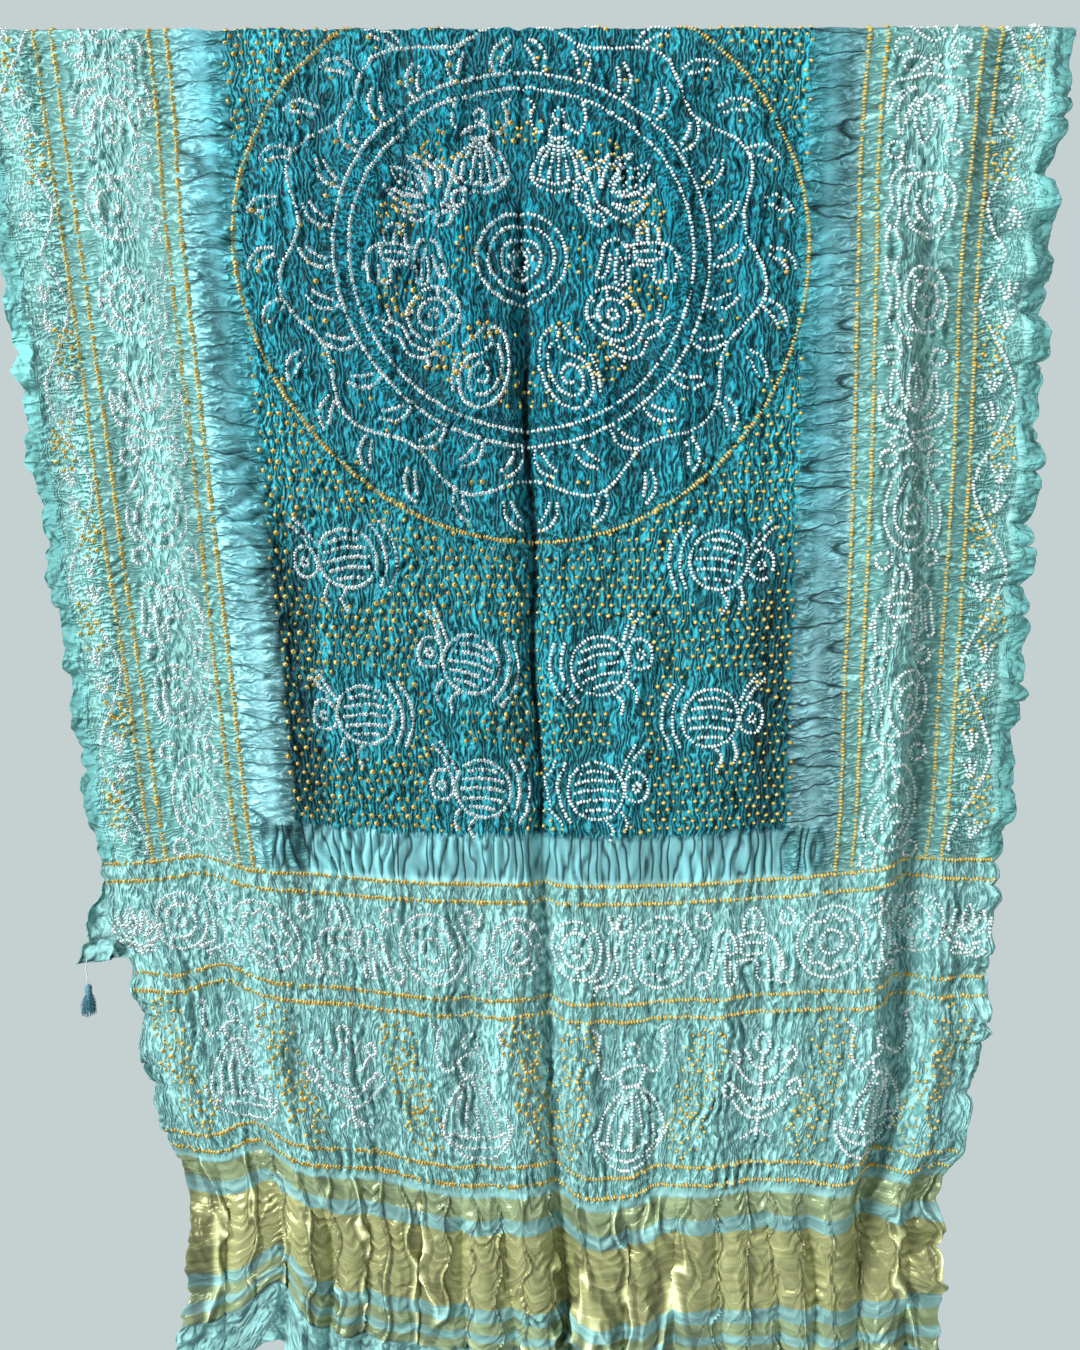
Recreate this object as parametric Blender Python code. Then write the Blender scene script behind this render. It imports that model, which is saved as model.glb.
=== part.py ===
"""Bandhani cloth of crinkled silk, folded once over a straight rail, with one tassel at a corner of its back fall.

The cloth is one thin sheet. Its front fall hangs at -Y and its back fall at +Y, and the fold between them runs
along X. The origin is at the middle of the fold's inner crest, where a rail would lie. Metres, +Z up.
"""
import math

import bmesh
import bpy
import numpy as np
from mathutils import Vector

# Driving sizes
THICKNESS = 0.002
FOLD_RADIUS = 0.010
FRONT_FALL = 1.258
BACK_FALL = 0.860
SEAT_GAP = 0.0003

# Rows and columns of the sheet's grid
FRONT_ROWS = 47
CREST_ROWS = 6
BACK_ROWS = 14
EVEN_COLUMNS = 33
CREASE_COLUMNS = (0.490, 0.510, 0.135, 0.160, 0.852, 0.884)

# Side edges and middle line of each fall as it hangs: drop below the crest, x of left edge, middle and right edge
FRONT_OUTLINE = np.array((
    (0.00, -0.491, 0.000, 0.491),
    (0.11, -0.475, 0.001, 0.477),
    (0.22, -0.457, 0.003, 0.468),
    (0.33, -0.443, 0.007, 0.466),
    (0.45, -0.430, 0.011, 0.462),
    (0.58, -0.412, 0.014, 0.456),
    (0.70, -0.398, 0.018, 0.450),
    (0.78, -0.373, 0.022, 0.438),
    (0.86, -0.361, 0.025, 0.434),
    (0.95, -0.350, 0.028, 0.426),
    (1.02, -0.326, 0.031, 0.408),
    (1.07, -0.312, 0.034, 0.390),
    (1.14, -0.313, 0.038, 0.392),
    (1.22, -0.325, 0.040, 0.390),
    (1.30, -0.328, 0.041, 0.392),
))
BACK_OUTLINE = np.array((
    (0.00, -0.491, 0.000, 0.491),
    (0.22, -0.462, 0.002, 0.462),
    (0.45, -0.436, 0.003, 0.436),
    (0.66, -0.408, 0.004, 0.414),
    (0.76, -0.398, 0.004, 0.404),
    (0.82, -0.420, 0.004, 0.400),
    (0.87, -0.434, 0.004, 0.400),
))

# Sag of the front fall's crosswise lines: place across (0 left, 1 right), then the extra drop of the line that
# hangs at mid fall, of the one above the gold bands and of the hem
FRONT_SAG_AT = (0.0, 0.750, 1.024, FRONT_FALL)
FRONT_SAG = np.array((
    (0.00, -0.006, -0.024, -0.012),
    (0.06, -0.010, -0.020, -0.024),
    (0.12, -0.016, -0.029, -0.062),
    (0.18, -0.008, -0.017, -0.016),
    (0.25, 0.000, -0.008, -0.004),
    (0.40, 0.009, 0.012, 0.010),
    (0.47, 0.010, 0.007, 0.014),
    (0.56, 0.012, 0.024, 0.034),
    (0.66, 0.010, 0.010, 0.020),
    (0.78, 0.003, 0.003, 0.018),
    (0.90, -0.011, 0.003, 0.018),
    (1.00, -0.008, -0.001, 0.012),
))
BACK_SAG_AT = (0.0, 0.500, BACK_FALL)
BACK_SAG = np.array((
    (0.00, 0.000, -0.004),
    (0.035, -0.001, -0.011),
    (0.08, -0.002, -0.003),
    (0.25, 0.002, 0.004),
    (0.45, 0.006, -0.004),
    (0.70, 0.002, 0.010),
    (1.00, -0.004, -0.006),
))

# Folds that run down each fall: first and last drop, place across at each, width to the left and to the right
# of the fold's line, and how far it stands forward
FRONT_FOLDS = (
    (0.12, 1.36, 0.500, 0.500, 0.010, 0.010, -0.014),
    (0.08, 1.12, 0.148, 0.146, 0.012, 0.060, 0.016),
    (0.08, 1.12, 0.118, 0.098, 0.024, 0.017, -0.014),
    (0.12, 1.14, 0.866, 0.876, 0.060, 0.012, 0.016),
    (0.12, 1.20, 0.900, 0.908, 0.016, 0.030, -0.016),
    (0.72, 1.20, 0.905, 0.910, 0.022, 0.026, -0.009),
    (0.70, 1.16, 0.944, 0.946, 0.016, 0.012, 0.010),
    (0.76, 1.05, 0.057, 0.057, 0.016, 0.014, 0.009),
    (0.30, 0.80, 0.248, 0.246, 0.014, 0.026, -0.007),
    (0.30, 0.80, 0.752, 0.750, 0.026, 0.014, -0.007),
    (0.84, 1.02, 0.208, 0.182, 0.007, 0.007, -0.006),
    (0.84, 1.10, 0.405, 0.402, 0.014, 0.012, -0.008),
    (0.80, 1.24, 0.450, 0.455, 0.020, 0.018, 0.007),
    (0.82, 1.12, 0.560, 0.566, 0.012, 0.012, -0.007),
    (0.84, 1.34, 0.622, 0.640, 0.017, 0.013, -0.012),
    (0.80, 1.20, 0.690, 0.700, 0.020, 0.024, 0.008),
)
BACK_FOLDS = (
    (0.10, 1.00, 0.500, 0.500, 0.012, 0.012, -0.006),
    (0.08, 1.00, 0.130, 0.150, 0.034, 0.022, 0.009),
    (0.16, 1.00, 0.320, 0.300, 0.030, 0.040, 0.008),
    (0.22, 1.00, 0.400, 0.420, 0.016, 0.014, -0.006),
    (0.10, 1.00, 0.680, 0.670, 0.040, 0.026, 0.010),
    (0.30, 1.00, 0.780, 0.770, 0.016, 0.020, -0.006),
    (0.12, 1.00, 0.880, 0.870, 0.024, 0.034, 0.009),
)
FOLD_FADE = 0.09

# Each fall leans forward off the rail by this much, over this first drop
LEAN = {"front": 0.020, "back": 0.010}
LEAN_DROP = 0.25
HEM_LEAN = 0.008
SIDE_RETURN = 0.010
SIDE_RETURN_WIDTH = 0.11

# Upright pleats that the stiff gold bands gather near each hem: drop where they start, their pitch and depth
PLEAT_START = {"front": 1.030, "back": 0.640}
PLEAT_PITCH = (0.034, 0.062)
PLEAT_DEPTH = (0.008, 0.014)
PLEAT_SEED = 7

# Ruffles along the side edges: length of a wave, its depth, how far in it reaches and how far the edge waves
RUFFLE_WAVE = 0.078
RUFFLE_DEPTH = {"left": 0.006, "right": 0.008}
RUFFLE_REACH = 0.034
SCALLOP = {"left": 0.004, "right": 0.007}

# Tassel at the left corner of the back fall. Its head's profile gives shares of the head's radius and height,
# from the thread down past the tied neck to the foot
TASSEL_ACROSS = 0.012
THREAD_RADIUS = 0.0006
THREAD_LENGTH = 0.023
HEAD_RADIUS = 0.0042
HEAD_HEIGHT = 0.0085
HEAD_PROFILE = ((0.26, 0.00), (0.62, 0.07), (0.86, 0.20), (0.95, 0.36), (0.84, 0.50), (0.90, 0.66), (1.00, 1.00))
STRAND_LENGTH = 0.0225
STRAND_SPREADS = (1.5, 1.3)
STRAND_UNEVEN = (0.90, 1.06)
STRAND_SEED = 11
STRAND_RINGS = (0.0011, 0.0026)
STRANDS_ROUND = 12
STRAND_GAP = 0.00022

# Colours as linear RGB, with roughness
AQUA = ((0.205, 0.450, 0.480), 0.50)
THREAD_WHITE = ((0.780, 0.770, 0.720), 0.75)
SLATE_TEAL = ((0.100, 0.250, 0.290), 0.62)


def glide(at, stations, values):
    """Smooth curve through a table's rows: on each span a cubic whose slopes are those of the rows around it."""
    stations = np.asarray(stations, float)
    values = np.asarray(values, float)
    slopes = np.gradient(values, stations)
    at = np.clip(at, stations[0], stations[-1])
    cell = np.clip(np.searchsorted(stations, at, side="right") - 1, 0, len(stations) - 2)
    width = stations[cell + 1] - stations[cell]
    t = (at - stations[cell]) / width
    rise = t * t * (3 - 2 * t)
    start = values[cell] * (1 - rise) + slopes[cell] * width * t * (1 - t) ** 2
    return start + values[cell + 1] * rise - slopes[cell + 1] * width * t * t * (1 - t)


def ease(t):
    """0 before 0, 1 after 1, and a smooth step between."""
    t = np.clip(t, 0.0, 1.0)
    return t * t * (3 - 2 * t)


def span_across(outline, across, drop):
    """Place x of a point: a parabola across the cloth through its left edge, middle line and right edge."""
    left, middle, right = (glide(drop, outline[:, 0], outline[:, column]) for column in (1, 2, 3))
    bulge = middle - (left + right) / 2
    return left + (right - left) * across + 4 * bulge * across * (1 - across), right - left


def sag_down(table, levels, across, hang):
    """Extra drop of a crosswise line: the table's columns read across, then joined smoothly down the fall."""
    columns = [np.zeros_like(across)]
    for column in range(1, table.shape[1]):
        columns.append(glide(across, table[:, 0], table[:, column]))
    total = np.zeros_like(across * hang)
    for upper in range(len(levels) - 1):
        part = ease((hang - levels[upper]) / (levels[upper + 1] - levels[upper]))
        total = total + (columns[upper + 1] - columns[upper]) * part
    return total


def fold_relief(folds, across, drop, width):
    """Sum of the folds: each is a bell across the cloth, with its own width on either side, that fades at its ends."""
    total = np.zeros_like(across * drop)
    for first, last, across_top, across_low, left, right, forward in folds:
        line = across_top + (across_low - across_top) * ease((drop - first) / (last - first))
        offset = (across - line) * width
        side = np.where(offset < 0, left, right)
        fade = ease((drop - first) / FOLD_FADE) * ease((last - drop) / FOLD_FADE)
        total = total + forward * fade * np.exp(-(offset / side) ** 2)
    return total


def pleat_relief(across, drop, start, width, seed):
    """Upright pleats of uneven pitch: between two troughs each is half a sine, so troughs are sharp, tops round."""
    dice = np.random.default_rng(seed)
    troughs = [-0.02]
    depths = []
    while troughs[-1] < 1.0:
        troughs.append(troughs[-1] + dice.uniform(*PLEAT_PITCH) / 0.72)
        depths.append(dice.uniform(*PLEAT_DEPTH))
    troughs = np.array(troughs)
    depths = np.array(depths)
    sway = across + 0.006 * np.sin(drop * 23 + across * 19)
    cell = np.clip(np.searchsorted(troughs, sway, side="right") - 1, 0, len(depths) - 1)
    phase = np.clip((sway - troughs[cell]) / (troughs[cell + 1] - troughs[cell]), 0.0, 1.0)
    return ease((drop - start) / 0.07) * depths[cell] * np.sin(math.pi * phase) ** 0.8


def edge_wave(drop, turn):
    """Uneven wave down a side edge: a sine whose own phase sways."""
    return np.sin(2 * math.pi * drop / RUFFLE_WAVE + 1.7 * np.sin(2 * math.pi * drop / 0.31 + turn) + turn)


def fall_point(side, across, hang):
    """Mid surface of one fall at place across (0 to 1) and hanging length, as x, y and z."""
    front = side == "front"
    outline = FRONT_OUTLINE if front else BACK_OUTLINE
    sag = (FRONT_SAG, FRONT_SAG_AT) if front else (BACK_SAG, BACK_SAG_AT)
    folds = FRONT_FOLDS if front else BACK_FOLDS
    drop = hang + sag_down(*sag, across, hang)
    x, width = span_across(outline, across, drop)
    free = ease(drop / LEAN_DROP)
    forward = LEAN[side] * free + HEM_LEAN * ease((drop - 0.6) / 0.6)
    from_left = across * width
    from_right = (1 - across) * width
    nearest = np.minimum(from_left, from_right)
    forward = forward - SIDE_RETURN * free * ease(1 - nearest / SIDE_RETURN_WIDTH)
    forward = forward + fold_relief(folds, across, drop, width)
    seed = PLEAT_SEED + (0 if front else 1)
    forward = forward + pleat_relief(across, drop, PLEAT_START[side], width, seed)
    for edge, inward, sign, turn in (("left", from_left, -1, 0.4), ("right", from_right, 1, 2.1)):
        weight = np.exp(-(inward / RUFFLE_REACH) ** 2) * ease(drop / 0.05)
        turn = turn + (0 if front else 1.3)
        forward = forward + RUFFLE_DEPTH[edge] * weight * edge_wave(drop + 0.016, turn)
        x = x + sign * SCALLOP[edge] * weight * edge_wave(drop, turn)
    forward = (forward + np.sqrt(forward ** 2 + 0.0015 ** 2)) / 2
    y = FOLD_RADIUS + forward
    return x, -y if front else y, -drop


def crest_point(across, turn):
    """Mid surface of the fold over the rail: a half circle turned from -90 degrees at the front to 90 at the back."""
    x, _ = span_across(FRONT_OUTLINE, across, np.zeros_like(turn))
    reach = FOLD_RADIUS + 0.0015 / 2
    y = reach * np.sin(turn)
    z = THICKNESS / 2 - FOLD_RADIUS + FOLD_RADIUS * np.cos(turn)
    return x, y, z


def path_point(across, row):
    """Point of the sheet at a row counted from the front hem, up over the crest and down to the back hem."""
    start = FOLD_RADIUS - THICKNESS / 2
    if row <= FRONT_ROWS:
        return fall_point("front", across, FRONT_FALL + (start - FRONT_FALL) * row / FRONT_ROWS)
    if row < FRONT_ROWS + CREST_ROWS:
        turn = math.pi * ((row - FRONT_ROWS) / CREST_ROWS - 0.5)
        return crest_point(across, np.full_like(across, turn))
    down = (row - FRONT_ROWS - CREST_ROWS) / BACK_ROWS
    return fall_point("back", across, start + (BACK_FALL - start) * down)


def material(name, finish):
    """One principled material of a colour and a roughness."""
    colour, roughness = finish
    made = bpy.data.materials.new(name)
    made.use_nodes = True
    shader = made.node_tree.nodes["Principled BSDF"]
    shader.inputs["Base Color"].default_value = (*colour, 1.0)
    shader.inputs["Roughness"].default_value = roughness
    shader.inputs["Metallic"].default_value = 0.0
    return made


def add_object(name, mesh, finish):
    """Link a mesh to the scene under its part's name."""
    mesh.shade_smooth()
    mesh.materials.append(finish)
    made = bpy.data.objects.new(name, mesh)
    bpy.context.collection.objects.link(made)
    return made


def build_cloth():
    """A flat grid, bent over the rail row by row and given its thickness."""
    columns = np.sort(np.concatenate((np.linspace(0.0, 1.0, EVEN_COLUMNS), CREASE_COLUMNS, (TASSEL_ACROSS,))))
    rows = FRONT_ROWS + CREST_ROWS + BACK_ROWS
    sheet = bmesh.new()
    bmesh.ops.create_grid(sheet, x_segments=len(columns) - 1, y_segments=rows, size=0.5)
    sheet.verts.ensure_lookup_table()
    order = sorted(sheet.verts, key=lambda vertex: (round(vertex.co.y, 5), vertex.co.x))
    for row in range(rows + 1):
        x, y, z = path_point(columns, row)
        for column in range(len(columns)):
            order[row * len(columns) + column].co = (x[column], y[column], z[column])
    mesh = bpy.data.meshes.new("cloth")
    sheet.to_mesh(mesh)
    sheet.free()
    cloth = add_object("cloth", mesh, material("crinkled_silk", AQUA))
    wall = cloth.modifiers.new("thickness", "SOLIDIFY")
    wall.thickness = THICKNESS
    wall.offset = 0.0
    wall.use_rim = True
    wall.use_even_offset = False
    return cloth


def hem_above(cloth, x, y):
    """Height of the cloth's hem straight above a point, found by a ray from below."""
    bpy.context.view_layer.update()
    solid = cloth.evaluated_get(bpy.context.evaluated_depsgraph_get())
    struck, place, _, _ = solid.ray_cast(Vector((x, y, -FRONT_FALL - 0.2)), Vector((0.0, 0.0, 1.0)))
    if not struck:
        raise RuntimeError("the tassel thread has no hem above it")
    return place.z


def build_thread(x, y, top):
    """Short thread: a round tube along a slightly slack line."""
    curve = bpy.data.curves.new("tassel_thread", "CURVE")
    curve.dimensions = "3D"
    curve.bevel_depth = THREAD_RADIUS
    curve.bevel_resolution = 1
    curve.use_fill_caps = True
    steps = 8
    line = curve.splines.new("POLY")
    line.points.add(steps)
    for step in range(steps + 1):
        down = step / steps
        slack = 0.0008 * math.sin(math.pi * down)
        line.points[step].co = (x - slack, y, top - THREAD_LENGTH * down, 1.0)
    curve.materials.append(material("white_thread", THREAD_WHITE))
    thread = bpy.data.objects.new("tassel_thread", curve)
    bpy.context.collection.objects.link(thread)
    return thread


def ring_of(head, x, y, radius, z):
    """One ring of points round the tassel's axis."""
    points = []
    for step in range(STRANDS_ROUND):
        turn = 2 * math.pi * step / STRANDS_ROUND
        points.append(head.verts.new((x + radius * math.cos(turn), y + radius * math.sin(turn), z)))
    return points


def build_tassel(x, y, top):
    """Head turned from its profile, with a strand drawn down from each cell of its foot."""
    head = bmesh.new()
    rings = [ring_of(head, x, y, HEAD_RADIUS * wide, top - HEAD_HEIGHT * low) for wide, low in HEAD_PROFILE]
    inner = [ring_of(head, x, y, radius, top - HEAD_HEIGHT) for radius in reversed(STRAND_RINGS)]
    head.faces.new(rings[0])
    walls = rings + inner
    for upper, lower in zip(walls, walls[1:]):
        for step in range(STRANDS_ROUND):
            after = (step + 1) % STRANDS_ROUND
            head.faces.new((upper[step], lower[step], lower[after], upper[after]))
    head.faces.new(tuple(reversed(inner[-1])))
    head.normal_update()
    cells = [face for face in head.faces if face.normal.z < -0.99]
    bmesh.ops.inset_individual(head, faces=cells, thickness=STRAND_GAP, use_even_offset=True)
    dice = np.random.default_rng(STRAND_SEED)
    for cell in cells:
        drawn = cell
        for spread in STRAND_SPREADS:
            drawn = bmesh.ops.extrude_discrete_faces(head, faces=[drawn])["faces"][0]
            middle = drawn.calc_center_median()
            length = STRAND_LENGTH / len(STRAND_SPREADS) * dice.uniform(*STRAND_UNEVEN)
            outward = Vector((middle.x - x, middle.y - y, 0.0)) * (spread - 1)
            for vertex in drawn.verts:
                vertex.co += outward - Vector((0.0, 0.0, length))
    bmesh.ops.recalc_face_normals(head, faces=head.faces)
    mesh = bpy.data.meshes.new("tassel")
    head.to_mesh(mesh)
    head.free()
    return add_object("tassel", mesh, material("teal_strands", SLATE_TEAL))


def main():
    """Build the cloth, then hang the thread and the tassel from its corner."""
    for existing in list(bpy.data.objects):
        bpy.data.objects.remove(existing, do_unlink=True)
    cloth = build_cloth()
    x, y, _ = fall_point("back", np.array([TASSEL_ACROSS]), np.array([BACK_FALL]))
    x, y = float(x[0]), float(y[0])
    top = hem_above(cloth, x, y) - SEAT_GAP
    build_thread(x, y, top)
    build_tassel(x, y, top - THREAD_LENGTH - SEAT_GAP)


main()
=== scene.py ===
"""Looks of a bandhani cloth: crinkled silk with woven gold bands, tied dots in two colours, and one tassel.

The drape repeats the part's: a front fall at -Y and a back fall at +Y, folded over a straight top edge along
X. Places on the cloth have two numbers. Across is 0 at the left side edge and 1 at the right. Path is the
length along the cloth from the fold's crest, above 0 down the front fall and below 0 down the back fall.
The dyed pattern has its own measures: x from the cloth's middle line, and v along the cloth from the middle
of its round centre. Metres, +Z up.
"""
import math
from types import SimpleNamespace

import bpy
import numpy as np
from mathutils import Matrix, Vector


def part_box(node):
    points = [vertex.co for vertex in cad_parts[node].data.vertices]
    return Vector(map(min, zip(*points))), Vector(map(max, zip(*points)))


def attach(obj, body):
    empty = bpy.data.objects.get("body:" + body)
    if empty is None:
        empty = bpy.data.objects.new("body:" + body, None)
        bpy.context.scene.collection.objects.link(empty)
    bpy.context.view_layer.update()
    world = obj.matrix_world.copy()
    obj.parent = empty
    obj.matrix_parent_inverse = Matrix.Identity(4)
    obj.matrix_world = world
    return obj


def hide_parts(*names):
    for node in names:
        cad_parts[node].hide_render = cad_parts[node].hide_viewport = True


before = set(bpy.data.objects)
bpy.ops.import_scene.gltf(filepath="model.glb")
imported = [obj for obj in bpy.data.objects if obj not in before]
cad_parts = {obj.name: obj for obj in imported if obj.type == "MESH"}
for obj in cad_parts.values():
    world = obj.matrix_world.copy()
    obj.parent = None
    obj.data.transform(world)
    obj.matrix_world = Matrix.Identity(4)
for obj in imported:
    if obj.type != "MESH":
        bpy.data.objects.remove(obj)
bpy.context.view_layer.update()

# Driving sizes, as in the part
THICKNESS = 0.002
FOLD_RADIUS = 0.010
FRONT_FALL = 1.258
BACK_FALL = 0.860

# Side edges and middle line of each fall: drop below the crest, x of left edge, middle and right edge
FRONT_OUTLINE = np.array((
    (0.00, -0.491, 0.000, 0.491),
    (0.11, -0.475, 0.001, 0.477),
    (0.22, -0.457, 0.003, 0.468),
    (0.33, -0.443, 0.007, 0.466),
    (0.45, -0.430, 0.011, 0.462),
    (0.58, -0.412, 0.014, 0.456),
    (0.70, -0.398, 0.018, 0.450),
    (0.78, -0.386, 0.022, 0.438),
    (0.86, -0.361, 0.025, 0.434),
    (0.95, -0.350, 0.028, 0.426),
    (1.02, -0.326, 0.031, 0.408),
    (1.07, -0.312, 0.034, 0.390),
    (1.14, -0.313, 0.038, 0.392),
    (1.22, -0.325, 0.040, 0.390),
    (1.30, -0.328, 0.041, 0.392),
))
BACK_OUTLINE = np.array((
    (0.00, -0.491, 0.000, 0.491),
    (0.22, -0.462, 0.002, 0.462),
    (0.45, -0.436, 0.003, 0.436),
    (0.66, -0.408, 0.004, 0.414),
    (0.76, -0.398, 0.004, 0.404),
    (0.82, -0.420, 0.004, 0.400),
    (0.87, -0.434, 0.004, 0.400),
))

# Sag of the crosswise lines: place across, then the extra drop at each of the levels
FRONT_SAG_AT = (0.0, 0.750, 1.024, FRONT_FALL)
FRONT_SAG = np.array((
    (0.00, -0.006, -0.024, -0.012),
    (0.06, -0.010, -0.020, -0.024),
    (0.12, -0.016, -0.029, -0.062),
    (0.18, -0.008, -0.017, -0.016),
    (0.25, 0.000, -0.008, -0.004),
    (0.40, 0.009, 0.012, 0.010),
    (0.47, 0.010, 0.007, 0.014),
    (0.56, 0.012, 0.024, 0.034),
    (0.66, 0.010, 0.010, 0.020),
    (0.78, 0.003, 0.003, 0.018),
    (0.90, -0.011, 0.003, 0.018),
    (1.00, -0.008, -0.001, 0.012),
))
BACK_SAG_AT = (0.0, 0.500, BACK_FALL)
BACK_SAG = np.array((
    (0.00, 0.000, -0.004),
    (0.035, -0.001, -0.011),
    (0.08, -0.002, -0.003),
    (0.25, 0.002, 0.004),
    (0.45, 0.006, -0.004),
    (0.70, 0.002, 0.010),
    (1.00, -0.004, -0.006),
))

# Folds that run down each fall: first and last drop, place across at each, width to the left and to the right
# of the fold's line, and how far it stands forward
FRONT_FOLDS = (
    (0.12, 1.36, 0.500, 0.500, 0.010, 0.010, -0.014),
    (0.08, 1.12, 0.192, 0.188, 0.042, 0.036, 0.013),
    (0.08, 1.12, 0.128, 0.112, 0.024, 0.024, -0.009),
    (0.12, 1.14, 0.866, 0.876, 0.060, 0.012, 0.016),
    (0.12, 1.20, 0.902, 0.910, 0.028, 0.036, -0.010),
    (0.72, 1.20, 0.905, 0.910, 0.022, 0.026, -0.009),
    (0.70, 1.16, 0.944, 0.946, 0.016, 0.012, 0.010),
    (0.76, 1.05, 0.057, 0.057, 0.016, 0.014, 0.009),
    (0.30, 0.80, 0.248, 0.246, 0.014, 0.026, -0.007),
    (0.30, 0.80, 0.752, 0.750, 0.026, 0.014, -0.007),
    (0.84, 1.02, 0.208, 0.182, 0.007, 0.007, -0.006),
    (0.84, 1.10, 0.405, 0.402, 0.014, 0.012, -0.008),
    (0.80, 1.24, 0.450, 0.455, 0.020, 0.018, 0.007),
    (0.82, 1.12, 0.560, 0.566, 0.012, 0.012, -0.007),
    (0.84, 1.34, 0.622, 0.640, 0.017, 0.013, -0.012),
    (0.80, 1.20, 0.690, 0.700, 0.020, 0.024, 0.008),
)
BACK_FOLDS = (
    (0.10, 1.00, 0.500, 0.500, 0.012, 0.012, -0.006),
    (0.08, 1.00, 0.130, 0.150, 0.034, 0.022, 0.009),
    (0.16, 1.00, 0.320, 0.300, 0.030, 0.040, 0.008),
    (0.22, 1.00, 0.400, 0.420, 0.016, 0.014, -0.006),
    (0.10, 1.00, 0.680, 0.670, 0.040, 0.026, 0.010),
    (0.30, 1.00, 0.780, 0.770, 0.016, 0.020, -0.006),
    (0.12, 1.00, 0.880, 0.870, 0.024, 0.034, 0.009),
)
FOLD_FADE = 0.09
LEAN = {"front": 0.020, "back": 0.010}
LEAN_DROP = 0.25
HEM_LEAN = 0.008
HEM_LEAN_DROP = 0.6
SIDE_RETURN = 0.010
SIDE_RETURN_WIDTH = 0.11
PLEAT_START = {"front": 1.030, "back": 0.640}
PLEAT_PITCH = (0.034, 0.062)
PLEAT_DEPTH = (0.008, 0.014)
PLEAT_FADE = 0.07
PLEATED_WIDTH = 0.72
PLEAT_SWAY = (0.006, 23, 19)
PLEAT_SEED = 7
RUFFLE_WAVE = 0.078
RUFFLE_SWAY = (1.7, 0.31)
RUFFLE_TURNS = (("left", -1, 0.4), ("right", 1, 2.1))
BACK_TURN = 1.3
RUFFLE_DEPTH = {"left": 0.006, "right": 0.008}
RUFFLE_REACH = 0.034
SCALLOP = {"left": 0.001, "right": 0.002}

# Softness of the rule that no fall swings back past the fold's own front
FORWARD_SOFTNESS = 0.0015

# The sheet along its path
CREST_ARC = math.pi / 2 * FOLD_RADIUS
FALL_START = FOLD_RADIUS - THICKNESS / 2
SLACK = CREST_ARC - FALL_START
FRONT_HEM = FRONT_FALL + SLACK
BACK_HEM = -BACK_FALL - SLACK
FLAT_CUT = (1.12, 2.30)

# Grid of the fine sheet, its panels' borders along the path, and the rolled hem round its rim
COLUMNS = 440
FRONT_ROWS = 570
BACK_ROWS = 290
SEAM = -0.030
PANEL_ENDS = {"cloth_end": 0.805, "cloth_middle": 0.392, "cloth_top": SEAM}
ROLL_STEPS = 3
ROLL_STEP = 0.0011
ROLL_RADIUS = 0.0008

# The dyed pattern: width that it is laid out on, path of its round centre, and how much rounder it is across
WIDTH = 0.925
CENTRE = 0.2077
SQUASH = 0.973

# Shares of the width from the nearest side edge, and lengths v from the round centre
LINES = (0.065, 0.081, 0.168, 0.184)
FIELD_EDGE = 0.234
FIELD_END = 0.509
ROWS = (0.5535, 0.570, 0.661, 0.677, 0.820, 0.837)
GOLD_BANDS = ((0.848, 0.867), (0.880, 0.952), (0.965, 0.977), (0.985, 0.995))
RINGS = (0.165, 0.151)
VINE_RING = 0.206
YELLOW_RING = 0.251
CENTRE_RINGS = (0.0395, 0.029, 0.0175)
DOT_PITCH = 0.0032
ROPE_PITCH = 0.0032
FILLER_TURN = 7.5


def glide(at, stations, values):
    """Smooth curve through a table's rows: on each span a cubic, with the slopes of the rows around it."""
    stations = np.asarray(stations, float)
    values = np.asarray(values, float)
    slopes = np.gradient(values, stations)
    at = np.clip(at, stations[0], stations[-1])
    cell = np.clip(np.searchsorted(stations, at, side="right") - 1, 0, len(stations) - 2)
    width = stations[cell + 1] - stations[cell]
    t = (at - stations[cell]) / width
    rise = t * t * (3 - 2 * t)
    start = values[cell] * (1 - rise) + slopes[cell] * width * t * (1 - t) ** 2
    return start + values[cell + 1] * rise - slopes[cell + 1] * width * t * t * (1 - t)


def ease(t):
    """0 before 0, 1 after 1, and a smooth step between."""
    t = np.clip(t, 0.0, 1.0)
    return t * t * (3 - 2 * t)


def within(value, low, high, soft):
    """1 between low and high, 0 outside, with a smooth step of the width soft over each border."""
    return ease((value - low) / soft + 0.5) * ease((high - value) / soft + 0.5)


def span_across(outline, across, drop):
    """Place x of a point: a parabola across the cloth through its left edge, middle line and right edge."""
    left, middle, right = (glide(drop, outline[:, 0], outline[:, column]) for column in (1, 2, 3))
    bulge = middle - (left + right) / 2
    return left + (right - left) * across + 4 * bulge * across * (1 - across), right - left


def sag_down(table, levels, across, hang):
    """Extra drop of a crosswise line: the table's columns read across, then joined smoothly down the fall."""
    columns = [np.zeros_like(across)]
    for column in range(1, table.shape[1]):
        columns.append(glide(across, table[:, 0], table[:, column]))
    total = np.zeros_like(across * hang)
    for upper in range(len(levels) - 1):
        part = ease((hang - levels[upper]) / (levels[upper + 1] - levels[upper]))
        total = total + (columns[upper + 1] - columns[upper]) * part
    return total


def fold_relief(folds, across, drop, width):
    """Sum of the folds: each is a bell across the cloth, with a width on either side, fading at its ends."""
    total = np.zeros_like(across * drop)
    for first, last, across_top, across_low, left, right, forward in folds:
        line = across_top + (across_low - across_top) * ease((drop - first) / (last - first))
        offset = (across - line) * width
        side = np.where(offset < 0, left, right)
        fade = ease((drop - first) / FOLD_FADE) * ease((last - drop) / FOLD_FADE)
        total = total + forward * fade * np.exp(-(offset / side) ** 2)
    return total


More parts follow.
